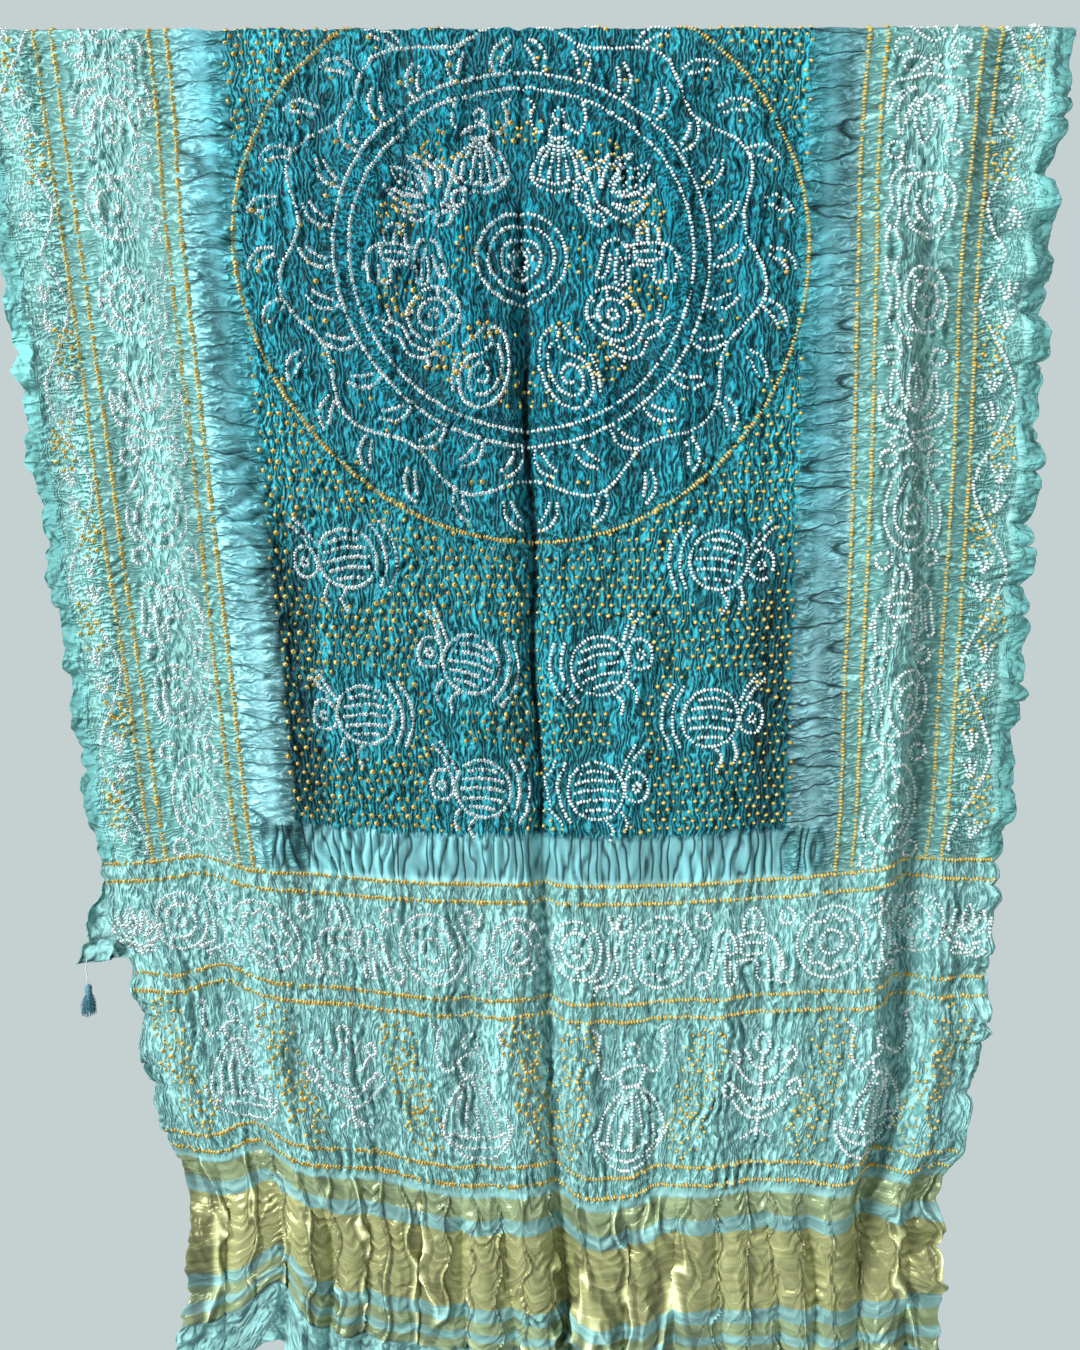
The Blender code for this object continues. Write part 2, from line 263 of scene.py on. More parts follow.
def pleat_relief(across, drop, start, seed):
    """Upright pleats of uneven pitch: half a sine from trough to trough, so only their tops are round."""
    dice = np.random.default_rng(seed)
    troughs = [-0.02]
    depths = []
    while troughs[-1] < 1.0:
        troughs.append(troughs[-1] + dice.uniform(*PLEAT_PITCH) / PLEATED_WIDTH)
        depths.append(dice.uniform(*PLEAT_DEPTH))
    troughs = np.array(troughs)
    depths = np.array(depths)
    reach, down, aside = PLEAT_SWAY
    sway = across + reach * np.sin(drop * down + across * aside)
    cell = np.clip(np.searchsorted(troughs, sway, side="right") - 1, 0, len(depths) - 1)
    phase = np.clip((sway - troughs[cell]) / (troughs[cell + 1] - troughs[cell]), 0.0, 1.0)
    return ease((drop - start) / PLEAT_FADE) * depths[cell] * np.sin(math.pi * phase) ** 0.8


def edge_wave(drop, turn):
    """Uneven wave down a side edge: a sine whose own phase sways."""
    reach, length = RUFFLE_SWAY
    phase = reach * np.sin(2 * math.pi * drop / length + turn)
    return np.sin(2 * math.pi * drop / RUFFLE_WAVE + phase + turn)


def fall_point(side, across, hang):
    """Mid surface of one fall at place across (0 to 1) and hanging length, as x, y and z."""
    front = side == "front"
    outline = FRONT_OUTLINE if front else BACK_OUTLINE
    sag = (FRONT_SAG, FRONT_SAG_AT) if front else (BACK_SAG, BACK_SAG_AT)
    folds = FRONT_FOLDS if front else BACK_FOLDS
    drop = hang + sag_down(*sag, across, hang)
    x, width = span_across(outline, across, drop)
    free = ease(drop / LEAN_DROP)
    forward = LEAN[side] * free + HEM_LEAN * ease(drop / HEM_LEAN_DROP - 1)
    from_left = across * width
    from_right = (1 - across) * width
    nearest = np.minimum(from_left, from_right)
    forward = forward - SIDE_RETURN * free * ease(1 - nearest / SIDE_RETURN_WIDTH)
    forward = forward + fold_relief(folds, across, drop, width)
    seed = PLEAT_SEED + (0 if front else 1)
    forward = forward + pleat_relief(across, drop, PLEAT_START[side], seed)
    for edge, sign, turn in RUFFLE_TURNS:
        inward = from_left if edge == "left" else from_right
        weight = np.exp(-(inward / RUFFLE_REACH) ** 2) * ease(drop / 0.05)
        turn = turn + (0 if front else BACK_TURN)
        forward = forward + RUFFLE_DEPTH[edge] * weight * edge_wave(drop + 0.016, turn)
        x = x + sign * SCALLOP[edge] * weight * edge_wave(drop, turn)
    forward = (forward + np.sqrt(forward ** 2 + FORWARD_SOFTNESS ** 2)) / 2
    y = FOLD_RADIUS + forward
    return x, -y if front else y, -drop


def crest_point(across, turn):
    """Mid surface of the fold over the rail: a half circle, -90 degrees at the front and 90 at the back."""
    x, _ = span_across(FRONT_OUTLINE, across, np.zeros_like(turn))
    reach = FOLD_RADIUS + FORWARD_SOFTNESS / 2
    y = reach * np.sin(turn)
    z = THICKNESS / 2 - FOLD_RADIUS + FOLD_RADIUS * np.cos(turn)
    return x, y, z


def sheet_place(across, path):
    """Mid surface anywhere on the sheet: the front fall, the half circle over the rail, or the back fall."""
    hang = np.maximum(np.abs(path) - SLACK, FALL_START)
    front = np.stack(fall_point("front", across, hang), -1)
    back = np.stack(fall_point("back", across, hang), -1)
    turn = -math.pi / 2 * np.clip(path / CREST_ARC, -1, 1)
    crest = np.stack(crest_point(across, turn), -1)
    fallen = np.where((path > 0)[..., None], front, back)
    return np.where((np.abs(path) < CREST_ARC)[..., None], crest, fallen)


# The crease down the middle line: how far it sways, and its turns a metre
CREASE_SWAY = 0.0015
CREASE_TURNS = 31.0

# Scallops of the side edges: pitch, depth at the left and at the right, and how far inward they reach
SCALLOP_PITCH = 0.060
SCALLOP_DEPTH = (0.0050, 0.0080)
EDGE_REACH = 0.018

# Folds of the gold bands: pitch and length of the wave that places them, how far its lines sway, and how far
# the swags between them hang
GOLD_WAVE = (0.074, 0.420)
GOLD_SWAY = 0.0035
SWAG_DIP = 0.011

# How far even noise bends the crinkles, across and along
WARP = (0.0030, 0.0040)

# Zones of the crinkles: shares of the width from and to and the softness of those borders, then the same for
# the lengths v
CRINKLE_ZONES = {
    "whole": (-1, 1, 0.012, -1, 2, 0.012),
    "field": (FIELD_EDGE, 1, 0.012, -1, FIELD_END, 0.008),
    "figures": (0.088, 0.164, 0.010, -1, ROWS[0], 0.012),
    "strips": (0.190, 0.232, 0.008, -1, 0.530, 0.020),
    "outer_lines": (0.060, 0.087, 0.008, -1, ROWS[0], 0.012),
    "inner_lines": (0.163, 0.189, 0.008, -1, ROWS[0], 0.012),
    "vines": (0.018, 0.062, 0.010, -1, ROWS[0], 0.012),
    "edges": (-1, 0.020, 0.012, -1, ROWS[0], 0.012),
    "pleats": (0.196, 1, 0.020, FIELD_END, ROWS[0], 0.010),
    "ends": (-1, 1, 0.012, ROWS[0], 0.842, 0.012),
    "gold": (-1, 1, 0.012, 0.845, 0.998, 0.012),
    "plain": (-1, 1, 0.012, 0.990, 2, 0.020),
}

# Waves of the crinkles: height, seed, pitch, length, run, whether they pucker, and strength in each zone
CRINKLE_WAVES = (
    (0.0010, 11, 0.0120, 0.026, "upright", False, {"field": 1, "figures": 0.8}),
    (0.0010, 26, 0.0130, 0.050, "upright", False, {"ends": 1}),
    (0.0006, 12, 0.0110, 0.000, "even", False, {"field": 1, "ends": 1, "figures": 1}),
    (0.0008, 13, 0.0090, 0.014, "level", False, {"outer_lines": 1, "inner_lines": 1, "vines": 1,
                                                 "edges": 0.6}),
    (0.0028, 14, 0.0460, 0.090, "level", True, {"strips": 1, "edges": 0.3}),
    (0.0007, 15, 0.0120, 0.050, "level", False, {"strips": 1}),
    (0.0024, 16, 0.0260, 0.090, "upright", True, {"pleats": 1}),
    (0.0034, 19, 0.0750, 0.000, "even", True, {"plain": 1}),
    (0.0016, 20, 0.0340, 0.000, "even", True, {"plain": 1}),
    (0.0011, 21, 0.0700, 0.300, "upright", False, {"whole": 1}),
)

# Seeded crinkles
RASTER_STEP = 0.0015
RASTER_SIZE = (1460, 680)
RASTER_START = (BACK_HEM - 0.02, -0.51)


def crinkles(seed, pitch, length, run):
    """Seeded noise with waves of one pitch, passed through a filter in its spectrum.

    Upright waves have their crests along the path and are about length long, level ones lie across, and even
    ones have no direction. The result has a mean of 0 and a spread of 1.
    """
    white = np.random.default_rng(seed).standard_normal(RASTER_SIZE)
    along = np.fft.fftfreq(RASTER_SIZE[0], RASTER_STEP)[:, None]
    side = np.fft.rfftfreq(RASTER_SIZE[1], RASTER_STEP)[None, :]
    if run == "upright":
        band = np.exp(-((side * pitch - 1) / 0.35) ** 2 - (along * length) ** 2)
    elif run == "level":
        band = np.exp(-((np.abs(along) * pitch - 1) / 0.35) ** 2 - (side * length) ** 2)
    else:
        band = np.exp(-((np.hypot(along, side) * pitch - 1) / 0.45) ** 2)
    waves = np.fft.irfft2(np.fft.rfft2(white) * band, s=RASTER_SIZE)
    return (waves - waves.mean()) / waves.std()


def read_raster(raster, x, path):
    """Value of a raster at places on the cloth, blended between its four nearest points."""
    row = np.clip((path - RASTER_START[0]) / RASTER_STEP, 0, RASTER_SIZE[0] - 1.001)
    column = np.clip((x - RASTER_START[1]) / RASTER_STEP, 0, RASTER_SIZE[1] - 1.001)
    r = row.astype(int)
    c = column.astype(int)
    down = row - r
    over = column - c
    upper = raster[r, c] * (1 - over) + raster[r, c + 1] * over
    lower = raster[r + 1, c] * (1 - over) + raster[r + 1, c + 1] * over
    return upper * (1 - down) + lower * down


def puckers(waves):
    """Soft ridges parted by sharp creases: the size of a wave, rounded a little where it crosses zero."""
    return np.sqrt(waves ** 2 + 0.02) - 0.8


def pinches(waves, width):
    """Narrow folds with wide shallow valleys between: a bell over each place where a wave crosses zero."""
    return np.exp(-(waves / width) ** 2)


def gold_folds(x, path):
    """Wave that crosses zero at the gold bands' upright folds, and how slack the silk hangs between them."""
    sway = GOLD_SWAY * read_raster(crinkles(27, 0.060, 0.020, "level"), x, path)
    wave = read_raster(crinkles(17, *GOLD_WAVE, "upright"), x + sway, path)
    return wave, np.minimum(np.abs(wave), 1.6)


def crinkle_relief(x, path):
    """Height of the crinkled silk above its mid surface: the sum of the waves, each in its zones, and of the
    gold bands' narrow folds and swags, less the crease down the middle line and the side edges' notches."""
    share = 0.5 - np.abs(x) / WIDTH
    v = np.abs(path - CENTRE)
    zones = {}
    for name, (left, right, side_soft, near, far, end_soft) in CRINKLE_ZONES.items():
        zones[name] = within(share, left, right, side_soft) * within(v, near, far, end_soft)
    warp_x = x + WARP[0] * read_raster(crinkles(1, 0.045, 0, "even"), x, path)
    warp_path = path + WARP[1] * read_raster(crinkles(2, 0.060, 0, "even"), x, path)

    def waves(seed, pitch, length, run):
        return read_raster(crinkles(seed, pitch, length, run), warp_x, warp_path)

    height = 0.0
    for tall, seed, pitch, length, run, puckered, strengths in CRINKLE_WAVES:
        wave = waves(seed, pitch, length, run)
        zone = sum(strength * zones[name] for name, strength in strengths.items())
        height = height + tall * (puckers(wave) if puckered else wave) * zone
    pinched, slack = gold_folds(x, path)
    swags = read_raster(crinkles(18, 0.0105, 0.045, "level"), x, path - SWAG_DIP * slack)
    height += (0.0044 * pinches(pinched, 0.15) + 0.0007 * swags * np.minimum(slack * 2, 1)) * zones["gold"]
    height += 0.0016 * pinches(waves(24, 0.060, 0.060, "upright"), 0.22) * zones["gold"]
    crease = np.exp(-((x - CREASE_SWAY * np.sin(path * CREASE_TURNS)) / 0.0035) ** 2)
    height -= 0.0035 * crease * (zones["field"] + 0.3 * zones["ends"])
    inward = WIDTH / 2 - np.abs(x)
    height -= 0.0028 * np.exp(-(notches(x, path) / 0.18) ** 2) * np.exp(-(inward / EDGE_REACH) ** 2)
    return height * (0.30 + 0.70 * ease(np.abs(path) / 0.030))


def notches(x, path):
    """Uneven scallops of a side edge: the size of a cosine, 0 at sharp notches and 1 at round tops."""
    turn = np.where(x < 0, 0.7, 2.9)
    phase = path / SCALLOP_PITCH + 0.55 * np.sin(path * 37 + turn) + 0.30 * np.sin(path * 83 + 2 * turn)
    return np.abs(np.cos(math.pi * phase))


def edge_frill(x, path):
    """Outline of the side edges: round scallops with sharp notches, and small level waves, fading inward."""
    inward = WIDTH / 2 - np.abs(x)
    weight = np.exp(-(inward / EDGE_REACH) ** 2) * ease((np.abs(path) - 0.02) / 0.05)
    depth = np.where(x < 0, *SCALLOP_DEPTH)
    frill = depth * (np.sqrt(notches(x, path)) - 0.60)
    frill += 0.0008 * read_raster(crinkles(23, 0.024, 0.030, "level"), x, path)
    return np.sign(x) * weight * frill


def splat(rows, columns, values, shape):
    """Sum of values dropped on a grid, each shared by its four nearest points."""
    total = np.zeros(shape)
    r = np.clip(rows.astype(int), 0, shape[0] - 2)
    c = np.clip(columns.astype(int), 0, shape[1] - 2)
    down = rows - r
    over = columns - c
    for step, share_down in ((0, 1 - down), (1, down)):
        for aside, share_over in ((0, 1 - over), (1, over)):
            np.add.at(total, (r + step, c + aside), values * share_down * share_over)
    return total


# Figures of the tied dots, as strokes in a box of this half size with y downward: True where a stroke closes
STROKE_BOX = 100
FISH = (
    (True, ((-60, 2), (-44, -36), (-4, -52), (34, -38), (50, 0), (34, 38), (-4, 52), (-44, 38))),
    (False, ((-30, -32), (-4, -36), (22, -31))),
    (False, ((-42, -15), (-6, -20), (34, -14))),
    (False, ((-46, 2), (-8, -2), (38, 3))),
    (False, ((-42, 20), (-6, 16), (32, 20))),
    (False, ((-26, 36), (-2, 34), (20, 35))),
    (False, ((-60, -54), (-76, -20), (-76, 20), (-60, 54))),
    (False, ((-78, -58), (-96, -20), (-96, 20), (-78, 58))),
    (True, ((54, -10), (68, -28), (90, -22), (98, 2), (88, 24), (66, 24), (54, 12))),
    (True, ((76, -8), (84, 0), (76, 8), (69, 0))),
    (False, ((48, -28), (62, -54), (80, -78))),
    (False, ((64, -34), (80, -58), (96, -70))),
    (False, ((10, 56), (22, 72), (14, 92))),
    (False, ((42, 42), (52, 62), (46, 80))),
)
ELEPHANT = (
    (False, ((-82, 80), (-86, 10), (-62, -28), (-10, -36), (28, -28), (42, -44), (64, -46), (80, -28),
            (86, 6), (92, 40), (98, 64), (84, 68))),
    (False, ((66, 0), (70, 30), (78, 56))),
    (False, ((54, 10), (52, 80), (26, 80), (22, 34), (-30, 34), (-36, 80), (-82, 80))),
    (False, ((30, -24), (22, 4), (42, 12), (50, -16))),
    (False, ((-52, -30), (-48, 12), (6, 14), (10, -32))),
    (False, ((-46, -8), (-20, -12), (4, -8))),
    (False, ((-60, 30), (-62, 70))),
    (False, ((38, 30), (38, 70))),
    (False, ((-44, -44), (-42, -74), (-20, -98), (2, -74), (4, -44))),
    (False, ((-20, -40), (-20, -80))),
    (False, ((-92, 10), (-98, 44))),
)


def with_mirror(strokes):
    """Strokes and their mirror images in the upright line through their box."""
    return strokes + tuple((closed, tuple((-x, y) for x, y in points)) for closed, points in strokes)


DANCER = (
    (True, ((0, -20), (18, -12), (44, 16), (60, 56), (40, 80), (0, 88), (-40, 80), (-60, 56), (-44, 16),
            (-18, -12))),
    (False, ((-54, 60), (-28, 68), (0, 72), (28, 68), (54, 60))),
    (False, ((0, -10), (0, 68))),
    (True, ((-14, -22), (-18, -42), (0, -50), (18, -42), (14, -22))),
    (True, ((0, -56), (13, -68), (0, -82), (-13, -68))),
) + with_mirror((
    (False, ((8, -4), (16, 30), (22, 66))),
    (False, ((16, -6), (34, 26), (42, 62))),
    (False, ((16, -46), (42, -30), (58, -56), (52, -90))),
    (False, ((52, -90), (64, -98))),
))
PEACOCK = (
    (True, ((-25, -80), (22, -62), (40, -10), (22, 42), (-25, 60), (-72, 42), (-90, -10), (-72, -62))),
    (True, ((-25, -52), (2, -40), (13, -10), (2, 20), (-25, 32), (-52, 20), (-63, -10), (-52, -40))),
    (True, ((-25, -24), (-11, -10), (-25, 4), (-39, -10))),
    (False, ((4, -38), (20, -58))),
    (False, ((-25, -54), (-25, -78))),
    (False, ((-54, -38), (-70, -58))),
    (False, ((-64, -10), (-88, -10))),
    (False, ((-54, 20), (-70, 40))),
    (False, ((-25, 34), (-25, 58))),
    (False, ((6, 62), (44, 54), (60, 14), (56, -30), (70, -62), (92, -58), (90, -36), (76, -10), (82, 30),
            (62, 68), (20, 80))),
    (False, ((72, -64), (62, -92))),
    (False, ((84, -66), (92, -94))),
    (False, ((28, 80), (22, 97))),
    (False, ((52, 74), (56, 97))),
)
PAISLEY = (
    (True, ((2, -95), (48, -70), (74, -10), (64, 52), (20, 90), (-34, 88), (-72, 50), (-64, -2),
            (-22, -30), (-6, -60), (-26, -86))),
    (False, ((14, -62), (46, -20), (42, 36), (6, 64), (-34, 54), (-42, 14), (-12, -6), (14, 8), (12, 32),
            (-10, 34))),
    (False, ((-84, -30), (-60, -56), (-44, -90))),
    (False, ((-92, -6), (-96, 36), (-80, 76))),
)
LOTUS = (
    (True, ((0, -92), (25, -42), (0, 10), (-25, -42))),
    (False, ((0, -64), (0, -20))),
    (False, ((-42, 48), (0, 58), (42, 48))),
    (False, ((0, 58), (0, 96))),
) + with_mirror((
    (False, ((0, 12), (36, -20), (62, -78), (70, -10), (30, 28))),
    (False, ((24, 8), (52, -36))),
    (False, ((32, 28), (72, 12), (96, -32), (92, 30), (42, 48))),
    (True, ((10, 82), (38, 64), (70, 74), (38, 94))),
))
TREE = (
    (False, ((0, 95), (0, -60))),
    (False, ((-30, 95), (0, 80), (30, 95))),
    (True, ((0, -60), (14, -78), (0, -96), (-14, -78))),
) + with_mirror((
    (False, ((0, 60), (30, 50), (58, 22))),
    (False, ((0, 42), (22, 34), (40, 14))),
    (False, ((0, 26), (34, 16), (66, -14))),
    (False, ((0, -4), (28, -12), (54, -44))),
    (False, ((0, -32), (18, -40), (34, -68))),
    (True, ((66, 14), (80, 2), (72, -14), (58, -2))),
    (True, ((54, -44), (68, -54), (60, -70), (46, -58))),
))
LEAF_STROKE = (
    (False, ((0, -90), (22, 0), (0, 90))),
)
LEAF_PAIR = (
    (False, ((-100, 10), (-30, -34), (50, -32), (100, 0))),
    (False, ((-70, 46), (-10, 30), (60, 30))),
)


def smooth_line(points, closed, steps=10):
    """Curve through given points: on each span a cubic whose slope at a point is half the step between the
    points on either side of it."""
    points = np.asarray(points, float)
    if closed:
        ringed = np.concatenate((points[-1:], points, points[:2]))
    else:
        ringed = np.concatenate((2 * points[:1] - points[1:2], points, 2 * points[-1:] - points[-2:-1]))
    t = (np.arange(steps) / steps)[None, :, None]
    before, start, end, after = (ringed[k:len(ringed) - 3 + k, None] for k in range(4))
    bend = 2 * before - 5 * start + 4 * end - after
    swing = 3 * start - before - 3 * end + after
    spans = (start + 0.5 * t * (end - before) + 0.5 * t ** 2 * bend + 0.5 * t ** 3 * swing).reshape(-1, 2)
    return np.concatenate((spans, ringed[-2:-1]))


# Half the step over which a line's direction is read, and the least gap in a cluster
LOOK_STEP = 0.0004
CLUSTER_GAP = 0.0080


def dots_along(line, pitch=DOT_PITCH, closed=False):
    """Points at an even pitch along a line, each with the line's direction as an angle."""
    line = np.asarray(line, float)
    lengths = np.hypot(*np.diff(line, axis=0).T)
    reached = np.concatenate(((0.0,), np.cumsum(lengths)))
    count = max(1, int(round(reached[-1] / pitch)))
    at = np.linspace(0, reached[-1], count + 1)
    at = at[:-1] if closed else at

    def place(at):
        return np.stack((np.interp(at, reached, line[:, 0]), np.interp(at, reached, line[:, 1])))

    run_x, run_v = place(at + LOOK_STEP) - place(at - LOOK_STEP)
    return np.stack((*place(at), np.arctan2(run_v, run_x)), -1)


def ring_dots(centre, radius, pitch=DOT_PITCH, start=0.0, end=360.0, petals=0, sway=0.0):
    """Dots round a ring, whose radius may swing in and out a number of times."""
    turn = np.radians(np.linspace(start, end, 361))
    reach = radius * (1 + sway * np.cos(petals * turn))
    line = np.stack((centre[0] + reach * np.sin(turn), centre[1] - SQUASH * reach * np.cos(turn)), -1)
    return dots_along(line, pitch, closed=end - start == 360.0)


def figure_dots(strokes, centre, size, turn=0.0, flip=1, pitch=DOT_PITCH):
    """Dots of one figure: its strokes smoothed, scaled, turned about the middle and set down at its centre.

    The half size is one number, or one across and one along.
    """
    turn = math.radians(turn)
    found = []
    for closed, points in strokes:
        x, y = (smooth_line(points, closed) * np.divide(size, STROKE_BOX)).T
        x = x * flip
        line = np.stack((centre[0] + x * math.cos(turn) - y * math.sin(turn),
                         centre[1] + x * math.sin(turn) + y * math.cos(turn)), -1)
        found.append(dots_along(line, pitch, closed))
    return np.concatenate(found)


def scattered(dice, centre, reach, count):
    """A loose cluster of dots in an oval, no nearer to each other than a share of their pitch."""
    kept = []
    for x, v in dice.uniform(-1, 1, (count * 6, 2)):
        place = (centre[0] + x * reach[0], centre[1] + v * reach[1])
        near = [abs(place[0] - p[0]) + abs(place[1] - p[1]) < CLUSTER_GAP for p in kept]
        if x * x + v * v < 1 and not any(near) and len(kept) < count:
            kept.append((*place, FILLER_TURN))
    return np.array(kept)


def at_share(share):
    """Place x on the pattern's right half, from a share of the width counted from the side edge."""
    return (0.5 - share) * WIDTH


# Figures of the round centre's right half: angle from the top, strokes, facing, half size across and along,
# and turn, all at one distance from the centre
ROUND_FIGURES = (
    (19, DANCER, 1, (0.040, 0.043), 0),
    (54, LOTUS, 1, (0.028, 0.037), 54),
    (89, ELEPHANT, -1, (0.038, 0.029), 0),
    (124, PEACOCK, 1, (0.037, 0.030), 34),
    (160, PAISLEY, -1, (0.028, 0.038), -20),
)
FIGURE_REACH = 0.103

# Leaves beside the round centre's vine: their count, first angle and step, then their distance from the vine
# and lean for the inner and the outer ones
LEAF_COUNT = 15
LEAF_TURNS = (5, 12.2)
LEAF_ROWS = ((-0.024, 64), (0.023, -48))

# Fish of the field's right half: x, v and turn
FISH_PLACES = ((0.176, 0.262, 8), (0.064, 0.352, -14), (0.170, 0.402, 4), (0.058, 0.465, -4))

# Spacing of the field's yellow dots, the border's figures with their start and spacing, the spacing of its
# vine's bends, and the radius of small rings
FILLER_PITCH = 0.0094
BORDER_ORDER = (PEACOCK, LOTUS, PAISLEY, ELEPHANT, PEACOCK, PAISLEY)
BORDER_START = 0.046
BORDER_PITCH = 0.0905
BEND_PITCH = 0.082
SMALL_RING = 0.0075

# Figures of the end's right half: x, strokes, facing and half size, first in the flower band and then in the
# band of dancers
FLOWER_BAND = 0.6155
FLOWERS = (0.1215, 0.293)
FLOWER_FIGURES = (
    (0.041, PEACOCK, 1, (0.040, 0.038)),
    (0.207, ELEPHANT, -1, (0.040, 0.038)),
    (0.375, PEACOCK, -1, (0.040, 0.038)),
    (0.437, LOTUS, 1, 0.024),
)
DANCER_BAND = 0.748
DANCER_FIGURES = ((0.088, DANCER, 0.064), (0.228, TREE, 0.052), (0.352, DANCER, 0.060))
CLUSTERS = (0.022, 0.158, 0.290, 0.418)


def mandala_dots(dice):
    """Right half of the round centre: rings, leaves along a vine, and a ring of figures with loose dots."""
    white = [ring_dots((0, 0), radius, end=180.0) for radius in RINGS]
    white += [ring_dots((0, 0), radius, end=180.0) for radius in CENTRE_RINGS]
    white.append(ring_dots((0, 0), 0.0085, end=180.0, petals=8, sway=0.35))
    white.append(ring_dots((0, 0), VINE_RING, end=180.0, petals=11, sway=0.050))
    yellow = [ring_dots((0, 0), YELLOW_RING, pitch=ROPE_PITCH, end=180.0)]
    for place in range(LEAF_COUNT):
        turn = math.radians(LEAF_TURNS[0] + LEAF_TURNS[1] * place)
        for out, lean in LEAF_ROWS:
            reach = VINE_RING + out
            leaf = (reach * math.sin(turn), -SQUASH * reach * math.cos(turn))
            white.append(figure_dots(LEAF_PAIR, leaf, 0.0145, math.degrees(turn) + lean))
            yellow.append(scattered(dice, (leaf[0] * 1.03, leaf[1] * 1.03 + 0.012), (0.012, 0.010), 2))
    for angle, strokes, flip, size, lean in ROUND_FIGURES:
        turn = math.radians(angle)
        centre = (FIGURE_REACH * math.sin(turn), -SQUASH * FIGURE_REACH * math.cos(turn))
        white.append(figure_dots(strokes, centre, size, lean, flip))
        for aside in (-1, 1):
            nudge = math.radians(angle + 17 * aside)
            place = (0.116 * math.sin(nudge), -0.113 * math.cos(nudge))
            yellow.append(scattered(dice, place, (0.020, 0.018), 10))
    yellow.append(scattered(dice, (0.05, 0.0), (0.012, 0.03), 9))
    yellow.append(scattered(dice, (0.028, 0.062), (0.024, 0.012), 8))
    return white, yellow


def field_dots(dice, white):
    """Right half of the lower field: fish, and yellow dots on staggered rows where nothing else is tied."""
    for x, v, turn in FISH_PLACES:
        white.append(figure_dots(FISH, (x, v), 0.050, turn))
    rows = np.arange(0.0, FIELD_END - 0.002, FILLER_PITCH * 0.86)
    columns = np.arange(FILLER_PITCH / 2, at_share(FIELD_EDGE) - 0.001, FILLER_PITCH)
    v, x = np.meshgrid(rows, columns, indexing="ij")
    stagger = (np.arange(len(rows)) % 2)[:, None] * FILLER_PITCH / 2
    x = x + stagger + dice.normal(0, 0.0009, x.shape)
    v = v + dice.normal(0, 0.0009, v.shape)
    keep = (np.hypot(x, v / SQUASH) > YELLOW_RING + 0.008) & (x < at_share(FIELD_EDGE) + 0.002)
    for fish_x, fish_v, _ in FISH_PLACES:
        keep &= ((x - fish_x) / 0.055) ** 2 + ((v - fish_v) / 0.040) ** 2 > 1
    keep &= ((x - 0.088) / 0.017) ** 2 + ((v - 0.412) / 0.040) ** 2 > 1
    return np.stack((x[keep], v[keep], np.full(keep.sum(), FILLER_TURN)), -1)


def border_dots(dice):
    """Right border down to the first row: yellow lines, figures one below the other, and the outer strip with
    its zigzag vine, leaves and clusters."""
    white = []
    yellow = []
    for share in LINES:
        line = np.stack((np.full(90, at_share(share)), np.linspace(0, ROWS[0], 90)), -1)
        yellow.append(dots_along(line, ROPE_PITCH))
    middle = at_share(0.1265)
    for place, strokes in enumerate(BORDER_ORDER):
        v = BORDER_START + BORDER_PITCH * place
        white.append(figure_dots(strokes, (middle, v), (0.034, 0.041), flip=1 if place % 2 else -1))
        for aside in (-0.024, 0.024):
            white.append(ring_dots((middle + aside, v + 0.0455), SMALL_RING))
    inner = at_share(0.057)
    outer = at_share(0.027)
    bends = np.arange(-0.040, ROWS[0] + 0.08, BEND_PITCH)
    zigzag = []
    for k, v in enumerate(bends):
        side = inner if k % 2 else outer
        zigzag += [(side, v - 0.012), (side, v + 0.014)]
    line = smooth_line(zigzag, False)
    white.append(dots_along(line[(line[:, 1] < ROWS[0] - 0.006) & (line[:, 1] > 0)]))
    for k, v in enumerate(bends):
        toward = -1 if k % 2 else 1
        leaf_x = (inner + outer) / 2 + toward * -0.004
        for leaf_v in (v - 0.010, v + 0.016):
            if 0.012 < leaf_v < ROWS[0] - 0.02:
                for row in (-1, 0, 1):
                    place = (leaf_x + 0.0045 * row, leaf_v)
                    white.append(figure_dots(LEAF_STROKE, place, 0.0095 - 0.002 * abs(row), 24 * row))
        for cloud_v in (v + 0.034, v + 0.052):
            if 0.012 < cloud_v < ROWS[0] - 0.02:
                cloud_x = (inner + outer) / 2 + toward * 0.007
                yellow.append(scattered(dice, (cloud_x, cloud_v), (0.012, 0.016), 11))
    return white, yellow


def end_dots(dice):
    """Right half of the end: three pairs of yellow rows, a band of ringed flowers and animals, and a band of
    dancers and trees with yellow dots between."""
    white = []
    yellow = []
    for v in ROWS:
        line = np.stack((np.linspace(0.002, WIDTH / 2 - 0.004, 90), np.full(90, v)), -1)
        yellow.append(dots_along(line, ROPE_PITCH))
    for x in FLOWERS:
        white.append(ring_dots((x, FLOWER_BAND), 0.0335))
        white.append(ring_dots((x, FLOWER_BAND), 0.0235, petals=8, sway=0.10))
        white.append(ring_dots((x, FLOWER_BAND), 0.0110))
    for x, strokes, flip, size in FLOWER_FIGURES:
        white.append(figure_dots(strokes, (x, FLOWER_BAND + 0.0005), size, flip=flip))
    for x in (0.081, 0.163, 0.249, 0.334):
        for v in (0.588, 0.643):
            white.append(ring_dots((x, v), SMALL_RING))
    for x, strokes, size in DANCER_FIGURES:
        white.append(figure_dots(strokes, (x, DANCER_BAND), size))
        if strokes is DANCER:
            white.append(ring_dots((x, DANCER_BAND + 0.024), 0.043, start=100, end=260))
    for x in CLUSTERS:
        for step in (-1, 0, 1):
            place = (x + 0.010 * step, DANCER_BAND - 0.040 * step)
            yellow.append(scattered(dice, place, (0.022, 0.026), 28))
    return white, yellow


def both_sides(found):
    """The dots and their mirror image in the cloth's middle line."""
    dots = np.concatenate(found)
    return np.concatenate((dots, dots * (-1, 1, -1)))


def both_ends(dots):
    """The dots and their mirror image in the line across the round centre."""
    return np.concatenate((dots, dots * (1, -1, -1)))


